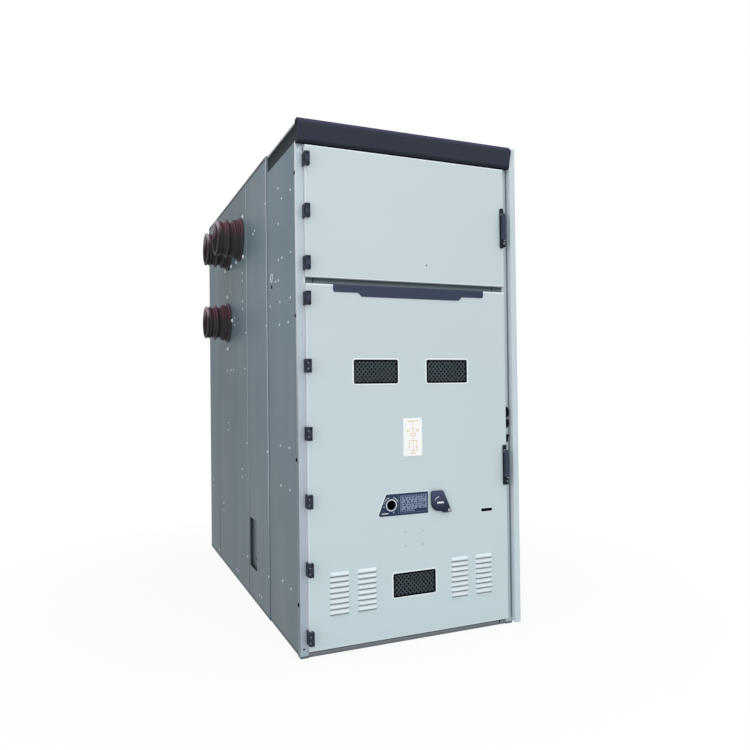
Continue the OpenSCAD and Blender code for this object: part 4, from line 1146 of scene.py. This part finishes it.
class SWITCHGEAR_OT_fitting_finishes(bpy.types.Operator):
    """Finishes of the hinges, handles, keepers and hubs"""

    bl_idname = "switchgear.fitting_finishes"
    bl_label = "Fitting finishes"

    def execute(self, context):
        colours, _ = settings_of(context)
        hinges = moulded_plastic("fitting_plastic", colours.fitting)
        bases = moulded_plastic("handle_plastic", shade(colours.fitting, 0.5), shine=0.1)
        # The levers are a lighter copy of the hinges' plastic, as a painted highlight
        levers = moulded_plastic("lever_plastic", shade(colours.fitting, 1.5))
        hubs = plated_metal("hub_steel", shade(colours.zinc, 0.35))
        for door in ("upper", "lower"):
            dress(hinges, f"{door}_hinge_posts", f"{door}_hinge_leaves")
            dress(bases, f"{door}_handle_base")
            dress(levers, f"{door}_handle_lever")
            dress(hubs, f"{door}_handle_hub")
        dress(moulded_plastic("black_plastic", colours.black, 0.7, 0.1, 0.03), "latch_keepers", "slot_trim")
        return {"FINISHED"}


class SWITCHGEAR_OT_bushing_finish(bpy.types.Operator):
    """Cast resin of the wall bushings"""

    bl_idname = "switchgear.bushing_finish"
    bl_label = "Bushing finish"

    def execute(self, context):
        colours, _ = settings_of(context)
        for node in BUSHING_BOLTS:
            dress(cast_resin(f"{node}_resin", colours.resin, node), node)
        return {"FINISHED"}


class SWITCHGEAR_OT_plate_finishes(bpy.types.Operator):
    """Finishes of the name strip, control plate, crank guide and trip cover"""

    bl_idname = "switchgear.plate_finishes"
    bl_label = "Plate finishes"

    def execute(self, context):
        colours, _ = settings_of(context)
        enamel = smooth_paint("strip_enamel", colours.strip, 0.45)
        dress(enamel, "name_strip")
        low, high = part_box("name_strip")
        cap_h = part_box("lower_door")[1].z - high.z + 2 * CAP_LAP
        cap = rounded_plate(high.x - low.x, cap_h, CAP_R, CAP_T)
        place = front_place((low.x + high.x) / 2, high.z + cap_h / 2 - CAP_LAP, DOOR_FACE)
        add_piece("name_strip_edge", placed(cap, place), enamel, "lower_door")
        dress(smooth_paint("plate_enamel", colours.plate, 0.45), "control_plate")
        low, high = (corner.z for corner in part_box("trip_cover"))
        trip = graded_plastic("trip_plastic", colours.fitting, TRIP_TOP_HIGHLIGHT, low + 15 * MM, high - 10 * MM)
        dress(trip, "trip_cover")
        dress(plated_metal("guide_metal", colours.zinc), "trip_cover_pin")
        dress(smooth_paint("guide_enamel", shade(colours.plate, 0.55), 0.45), "crank_guide")
        return {"FINISHED"}


class SWITCHGEAR_OT_window_finishes(bpy.types.Operator):
    """Finishes of the panes and meshes, and a painted rim round each window and the slot"""

    bl_idname = "switchgear.window_finishes"
    bl_label = "Windows"

    def execute(self, context):
        colours, sizes = settings_of(context)
        dress(tinted_pane("window_pane", colours.pane), "window_panes")
        mesh_paint = moulded_plastic("mesh_paint", colours.mesh, 0.7, 0.0, 0.05)
        dress(mesh_paint, "window_meshes")
        mesh_low, mesh_high = (corner.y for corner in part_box("window_meshes"))
        pane_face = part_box("window_panes")[0].y
        strands, gaskets, rims = [], [], []
        for middle in WINDOW_MIDDLES:
            mesh_place = on_front(*middle, mesh_high)
            wires = lattice(WINDOW_W, WINDOW_H, *MESH_SIZES, mesh_high - mesh_low)
            strands += [(wire, mesh_place @ place) for wire, place in wires]
            gasket = rounded_frame(WINDOW_W - 2 * GASKET_W, WINDOW_H - 2 * GASKET_W, *GASKET)
            gaskets.append((gasket, on_front(*middle, pane_face)))
            rim = rounded_frame(WINDOW_W, WINDOW_H, WINDOW_R, sizes.rim_w, RIM_T)
            rims.append((rim, on_front(*middle, DOOR_FACE)))
        mesh = add_piece("window_lattice", gather(strands), mesh_paint, "lower_door")
        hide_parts("window_meshes")
        rubber = dull_black("gasket_rubber", colours.black)
        add_piece("window_gaskets", gather(gaskets), rubber, "lower_door")
        low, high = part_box("slot_trim")
        slot_rim = rounded_frame(high.x - low.x, high.z - low.z, *SLOT_RIM)
        rims.append((slot_rim, before("slot_trim", DOOR_FACE)))
        rim_paint = powder_coat("rim_powder_coat", COOL_WHITE)
        add_piece("window_rims", gather(rims), rim_paint, "lower_door")
        return {"FINISHED"}


class SWITCHGEAR_OT_louvre_shadows(bpy.types.Operator):
    """Painted shadows: dark strips on the door under the hoods of the louvres"""

    bl_idname = "switchgear.louvre_slots"
    bl_label = "Louvre slots"

    def execute(self, context):
        colours, _ = settings_of(context)
        places = [
            on_front(middle, LOUVRE_FOOT + LOUVRE_PITCH * row, DOOR_FACE)
            for middle in LOUVRE_GROUPS
            for row in range(LOUVRE_COUNT)
        ]
        slots = scatter(rounded_plate(*LOUVRE_SHADOW, corner_steps=2), places)
        dark = printed_ink("slot_shade", shade(colours.door, 0.46))
        add_piece("louvre_slots", slots, dark, "lower_door")
        return {"FINISHED"}


class SWITCHGEAR_OT_wall_fasteners(bpy.types.Operator):
    """Rivets and screws on the left wall and bolts round the bushings"""

    bl_idname = "switchgear.wall_fasteners"
    bl_label = "Wall fasteners"

    def execute(self, context):
        colours, sizes = settings_of(context)
        zinc = plated_metal("zinc_plate", colours.zinc)
        rivet = domed_rivet(sizes.rivet_r, sizes.round_steps)
        rivets = scatter(rivet, [on_left_wall(*spot) for spot in WALL_RIVETS])
        add_piece("wall_rivets", rivets, zinc, "cabinet")
        spots = []
        for node, offsets in BUSHING_BOLTS.items():
            middle = middle_of(node)
            depth, height = (middle.y - FRONT_FACE) / MM, middle.z / MM
            spots += [on_left_wall(depth + across, height + up) for across, up in offsets]
        bolts = scatter(hexagon_bolt(sizes.bolt_r * BUSHING_BOLT_SCALE, sizes.round_steps), spots)
        add_piece("bushing_bolts", bolts, zinc, "cabinet")
        return {"FINISHED"}


class SWITCHGEAR_OT_wall_openings(bpy.types.Operator):
    """Dark holes, ring plug, strip, painted highlights on the folded edges and opening plate of the left wall
    """

    bl_idname = "switchgear.wall_openings"
    bl_label = "Wall openings"

    def execute(self, context):
        colours, sizes = settings_of(context)
        dark = dull_black("hole_black", colours.black)
        hole = rimmed_hole(sizes.hole_r, sizes.round_steps)
        holes = scatter(hole, [on_left_wall(*spot) for spot in WALL_HOLES])
        add_piece("wall_holes", holes, dark, "cabinet")
        ring, cap = (
            turned_shape([(share * sizes.plug_r, height * MM) for share, height in profile], PLUG_STEPS)
            for profile in (PLUG_RING, PLUG_CAP)
        )
        place = on_left_wall(*RING_PLUG)
        ring_zinc = plated_metal("ring_zinc", colours.zinc)
        add_piece("plug_ring", placed(ring, place), ring_zinc, "cabinet")
        cap_sheet = coated_sheet("cap_sheet", colours.sheet)
        add_piece("plug_cap", placed(cap, place), cap_sheet, "cabinet")
        strip = placed(rounded_plate(*BUSHING_STRIP_SIZE), on_left_wall(*BUSHING_STRIP))
        light = coated_sheet("strip_sheet", blend(colours.sheet, WHITE, 0.42))
        add_piece("bushing_strip", strip, light, "cabinet")
        self.make_fold_highlights(colours)
        front, rear, foot, top = OPENING_PLATE
        backing = rounded_plate(top - foot, rear - front, 0, OPENING_PLATE_T)
        x = STEP_FACE + OPENING_PLATE_DEPTH
        placed(backing, left_place(x, FRONT_FACE + (front + rear) / 2, (foot + top) / 2))
        dull = coated_sheet("backing_sheet", shade(colours.sheet, 0.86))
        add_piece("wall_opening_backing", backing, dull, "cabinet")
        behind, height, depth, radius = BACKING_HOLE
        hole = rimmed_hole(radius, sizes.round_steps)
        placed(hole, left_place(STEP_FACE + depth, FRONT_FACE + behind, height))
        add_piece("wall_opening_hole", hole, dark, "cabinet")
        return {"FINISHED"}

    def make_fold_highlights(self, colours):
        # Pale strips on the panels' front edges, as painted highlights of the lit folds
        for panel, (width, lightness) in FOLD_HIGHLIGHTS.items():
            low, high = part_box(panel)
            seam = rounded_plate(high.z - low.z, width * MM, 0, SEAM_T)
            placed(seam, left_place(low.x + SEAM_SEAT, low.y + width * MM / 2, (low.z + high.z) / 2))
            pale = blend(colours.sheet, COOL_WHITE, lightness)
            coat = fold_highlight_coat(f"{panel}_seam_coat", pale, colours.sheet)
            add_piece(f"{panel}_seam", seam, coat, "cabinet")


class SWITCHGEAR_OT_front_fasteners(bpy.types.Operator):
    """Screws and slots in the posts, rails and sill, a painted shade strip beside the right post, and small
    rivets in the doors
    """

    bl_idname = "switchgear.front_fasteners"
    bl_label = "Front fasteners"

    def execute(self, context):
        colours, sizes = settings_of(context)
        screw = slotted_screw(sizes.rivet_r * POST_SCREW_SCALE, sizes.round_steps)
        zinc = plated_metal("screw_zinc", colours.zinc)
        add_piece("post_screw", placed(screw, on_front(*POST_SCREW, FRONT_FACE)), zinc, "cabinet")
        slots = [(rounded_plate(*size), on_front(*place)) for *place, size in FRONT_SLOTS]
        slots.append((rimmed_hole(POST_HOLE_R, sizes.round_steps), on_front(*POST_HOLE, FRONT_FACE)))
        dark = dull_black("slot_black", colours.black)
        add_piece("front_slots", gather(slots), dark, "cabinet")
        # Dark strip on the right post beside the cover: painted shade in the corner gap
        low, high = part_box("front_right_post")
        foot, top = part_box("front_sill")[1].z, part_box("header_lintel")[0].z
        seam = rounded_plate(RIGHT_SEAM_W, top - foot, 0, RIGHT_SEAM_T)
        placed(seam, front_place(high.x - RIGHT_SEAM_W / 2, (foot + top) / 2, low.y))
        grey = powder_coat("seam_coat", shade(colours.far_post_shaded, 0.38), 0.0)
        add_piece("right_post_seam", seam, grey, "cabinet")
        places = [on_front(*spot, DOOR_FACE) for spot in LOWER_DOOR_RIVETS]
        dots = scatter(domed_rivet(sizes.dot_r, SMALL_STEPS), places)
        dull = plated_metal("door_rivet", shade(colours.door, 0.55), gloss=0.45, metal=0.4)
        add_piece("lower_door_rivets", dots, dull, "lower_door")
        dot = domed_rivet(sizes.dot_r * UPPER_RIVET_SCALE, SMALL_STEPS)
        placed(dot, on_front(*UPPER_DOOR_RIVET, DOOR_FACE))
        near_black = plated_metal("dark_rivet", shade(colours.door, 0.06), gloss=0.6)
        add_piece("upper_door_rivet", dot, near_black, "upper_door")
        return {"FINISHED"}


class SWITCHGEAR_OT_hinge_screws(bpy.types.Operator):
    """Two small screws on the front of each lower hinge, and on the upper ones a lighter ring painted as the
    highlight of a pressed ring
    """

    bl_idname = "switchgear.hinge_screws"
    bl_label = "Hinge screws"

    def execute(self, context):
        colours, sizes = settings_of(context)
        *lower, top = solids_of("lower_hinge_leaves")
        screws = [
            front_place(low.x + HINGE_SCREW_IN, (low.z + high.z) / 2 + rise, low.y)
            for low, high in lower
            for rise in (-HINGE_SCREW_RISE, HINGE_SCREW_RISE)
        ]
        heads = scatter(slotted_screw(sizes.screw_r, SMALL_STEPS), screws)
        steel = plated_metal("hinge_steel", shade(colours.zinc, 0.34))
        add_piece("lower_hinge_screws", heads, steel, "lower_door")
        ring_highlight = moulded_plastic("hinge_ring", shade(colours.fitting, 3.6), 0.6, 0.0, 0.1)
        for door, leaves in (("upper", solids_of("upper_hinge_leaves")), ("lower", [top])):
            spots = [
                front_place(low.x + HINGE_RING_IN, (low.z + high.z) / 2 - HINGE_RING_DROP, low.y)
                for low, high in leaves
            ]
            rings = scatter(arc_band(*HINGE_RING_R, 0, FULL_TURN, sizes.print_t, RING_STEPS), spots)
            add_piece(f"{door}_hinge_rings", rings, ring_highlight, f"{door}_door")
        return {"FINISHED"}


class SWITCHGEAR_OT_handle_locks(bpy.types.Operator):
    """Lock cylinders on the handle bases"""

    bl_idname = "switchgear.handle_locks"
    bl_label = "Handle locks"

    def execute(self, context):
        colours, _ = settings_of(context)
        steel = plated_metal("lock_steel", shade(colours.zinc, 0.18))
        dark = moulded_plastic("key_black", colours.black)
        for door in ("upper", "lower"):
            low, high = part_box(f"{door}_handle_base")
            place = front_place((low.x + high.x) / 2, low.z + LOCK_RISE, low.y)
            cylinder = placed(turned_shape(LOCK_PROFILE, RING_STEPS), place)
            add_piece(f"{door}_lock_cylinder", cylinder, steel, f"{door}_door")
            keyway = placed(rounded_plate(*KEYWAY), place)
            add_piece(f"{door}_keyway", keyway, dark, f"{door}_door")
        return {"FINISHED"}


class SWITCHGEAR_OT_diagram_label(bpy.types.Operator):
    """White label with a plain circuit diagram on the lower door"""

    bl_idname = "switchgear.diagram_label"
    bl_label = "Diagram label"

    def execute(self, context):
        colours, sizes = settings_of(context)
        plate = rounded_plate(sizes.label_w, sizes.label_h, LABEL_R, LABEL_T)
        placed(plate, on_front(*LABEL_MIDDLE, DOOR_FACE))
        add_piece("diagram_label", plate, printed_ink("label_face", colours.label), "lower_door")
        shapes = [
            (across, up, rounded_plate(width * MM, height * MM, 0, sizes.print_t))
            for across, up, width, height in DIAGRAM_LINES
        ]
        shapes += [
            (across, up, arc_band(*DIAGRAM_RING_R, 0, FULL_TURN, sizes.print_t, RING_STEPS))
            for across, up in DIAGRAM_RINGS
        ]
        x, z = LABEL_MIDDLE
        marks = [(shape, on_front(x + across, z + up, DOOR_FACE - LABEL_T)) for across, up, shape in shapes]
        ink = printed_ink("diagram_ink", colours.diagram)
        add_piece("diagram_lines", gather(marks), ink, "lower_door")
        return {"FINISHED"}


class SWITCHGEAR_OT_control_marks(bpy.types.Operator):
    """Printed field, divider, turning arrows, ring and border of the control plate"""

    bl_idname = "switchgear.control_marks"
    bl_label = "Control plate marks"

    def execute(self, context):
        colours, sizes = settings_of(context)
        self.make_field(colours, sizes.print_t)
        self.make_crank_marks(colours, sizes.print_t)
        low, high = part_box("control_plate")
        middle = middle_of("control_plate")
        left = low.x - BORDER_REACH
        corners = ((left, low.z), (high.x, low.z), (high.x, high.z), (left + BORDER_LEAN, high.z))
        border = outline_frame([(x - middle.x, z - middle.z) for x, z in corners], *BORDER)
        placed(border, before("control_plate", DOOR_FACE))
        border_coat = powder_coat("border_coat", COOL_WHITE)
        add_piece("control_border", border, border_coat, "lower_door")
        lines = [
            (rounded_plate(*DIVIDER_SIZE, sizes.print_t), on_front(*DIVIDER, PLATE_FACE)),
            (rounded_frame(*FIELD_LINE_SIZE, sizes.print_t), on_front(*FIELD_LINE, PLATE_FACE)),
        ]
        slate = printed_ink("slate_ink", blend(colours.plate, colours.field, 0.42))
        add_piece("control_slate_lines", gather(lines), slate, "lower_door")
        return {"FINISHED"}

    def make_field(self, colours, print_t):
        panels, bars = [], []
        for row in range(FIELD_ROWS):
            width = FIELD_SHORT_W if row == FIELD_ROWS - 1 else FIELD_W
            height = FIELD_TOP - FIELD_ROW_H * (row + 0.5)
            panel = rounded_plate(width * MM, FIELD_ROW_H * MM, 0, print_t)
            panels.append((panel, on_front(FIELD_LEFT + width / 2, height, PLATE_FACE)))
            start, step = FIELD_LEFT + BAR_START, 0
            while start < FIELD_LEFT + width - BAR_END:
                length = BAR_LENGTH + LENGTH_STEP * ((row * 3 + step * 5) % 3)
                rise = ((step * 7 + row) % 3 - 1) * BAR_SHIFT
                bar = rounded_plate(length * MM, BAR_H * MM, 0, print_t)
                bars.append((bar, on_front(start + length / 2, height + rise, PLATE_FACE - print_t)))
                start += length + BAR_GAP + GAP_STEP * ((row + step * 3) % 3)
                step += 1
        field = printed_ink("field_ink", colours.field)
        add_piece("control_field", gather(panels), field, "lower_door")
        dark = printed_ink("field_dark_ink", shade(colours.plate, 0.35))
        add_piece("control_field_bars", gather(bars), dark, "lower_door")

    def make_crank_marks(self, colours, print_t):
        marks = [
            (arc_band(*CRANK_ARC_R, start, sweep, print_t), before("crank_guide", PLATE_FACE))
            for start, sweep in CRANK_ARCS
        ]
        marks.append((rounded_plate(*WHITE_BAR_SIZE, print_t), on_front(*WHITE_BAR, PLATE_FACE)))
        white = printed_ink("white_ink", colours.print_white)
        add_piece("control_white_marks", gather(marks), white, "lower_door")
        ring = arc_band(*CRANK_RING_R, 0, FULL_TURN, print_t, CRANK_RING_STEPS)
        placed(ring, before("crank_guide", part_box("crank_guide")[0].y))
        add_piece("crank_ring", ring, plated_metal("ring_plate", colours.zinc), "lower_door")


class SWITCHGEAR_OT_trip_marks(bpy.types.Operator):
    """Arc mark, tag and hole liner on the trip cover"""

    bl_idname = "switchgear.trip_marks"
    bl_label = "Trip cover marks"

    def execute(self, context):
        colours, sizes = settings_of(context)
        liner = arc_band(*TRIP_LINER_R, 0, FULL_TURN, sizes.print_t)
        marks = [
            (arc_band(*TRIP_ARC_R, *TRIP_ARC_TURN, sizes.print_t), on_front(*TRIP_ARC, TRIP_FACE)),
            (rounded_plate(*TRIP_TAG_SIZE, sizes.print_t), on_front(*TRIP_TAG, TRIP_FACE)),
            (liner, on_front(*TRIP_LINER, TRIP_FACE + TRIP_TAB_DEPTH)),
        ]
        white = printed_ink("trip_white_ink", colours.print_white)
        add_piece("trip_marks", gather(marks), white, "trip_cover")
        return {"FINISHED"}


class SWITCHGEAR_OT_rear_bolts(bpy.types.Operator):
    """Bolts round the edges of the rear covers"""

    bl_idname = "switchgear.rear_bolts"
    bl_label = "Rear bolts"

    def execute(self, context):
        colours, sizes = settings_of(context)
        ends = (REAR_BOLT_COLUMNS[0], REAR_BOLT_COLUMNS[-1])
        places = [
            on_rear(x, z)
            for z in REAR_BOLT_ROWS
            for x in (REAR_BOLT_COLUMNS if z in REAR_FULL_ROWS else ends)
        ]
        bolts = scatter(hexagon_bolt(sizes.bolt_r, sizes.round_steps), places)
        add_piece("rear_bolts", bolts, plated_metal("rear_zinc", colours.zinc), "cabinet")
        return {"FINISHED"}


OPERATORS = (
    SWITCHGEAR_OT_stage,
    SWITCHGEAR_OT_cabinet_finishes,
    SWITCHGEAR_OT_header_finish,
    SWITCHGEAR_OT_fitting_finishes,
    SWITCHGEAR_OT_bushing_finish,
    SWITCHGEAR_OT_plate_finishes,
    SWITCHGEAR_OT_window_finishes,
    SWITCHGEAR_OT_louvre_shadows,
    SWITCHGEAR_OT_wall_fasteners,
    SWITCHGEAR_OT_wall_openings,
    SWITCHGEAR_OT_front_fasteners,
    SWITCHGEAR_OT_hinge_screws,
    SWITCHGEAR_OT_handle_locks,
    SWITCHGEAR_OT_diagram_label,
    SWITCHGEAR_OT_control_marks,
    SWITCHGEAR_OT_trip_marks,
    SWITCHGEAR_OT_rear_bolts,
)


class SWITCHGEAR_PT_panel(bpy.types.Panel):
    """Lists the pieces of the switchgear panel"""

    bl_idname = "SWITCHGEAR_PT_panel"
    bl_label = "Switchgear panel"
    bl_space_type = "VIEW_3D"
    bl_region_type = "UI"
    bl_category = "Switchgear"

    def draw(self, context):
        for operator in OPERATORS:
            self.layout.operator(operator.bl_idname)


SETTINGS = {
    "switchgear_colours": SwitchgearColours,
    "switchgear_sizes": SwitchgearSizes,
    "switchgear_stage": SwitchgearStage,
}
CLASSES = (*SETTINGS.values(), *OPERATORS, SWITCHGEAR_PT_panel)


def register():
    for item in CLASSES:
        bpy.utils.register_class(item)
    for name, group in SETTINGS.items():
        setattr(bpy.types.Scene, name, PointerProperty(type=group))


def unregister():
    for name in SETTINGS:
        delattr(bpy.types.Scene, name)
    for item in reversed(CLASSES):
        bpy.utils.unregister_class(item)


def main():
    register()
    for operator in OPERATORS:
        group, name = operator.bl_idname.split(".")
        getattr(getattr(bpy.ops, group), name)()


if __name__ == "__main__":
    main()
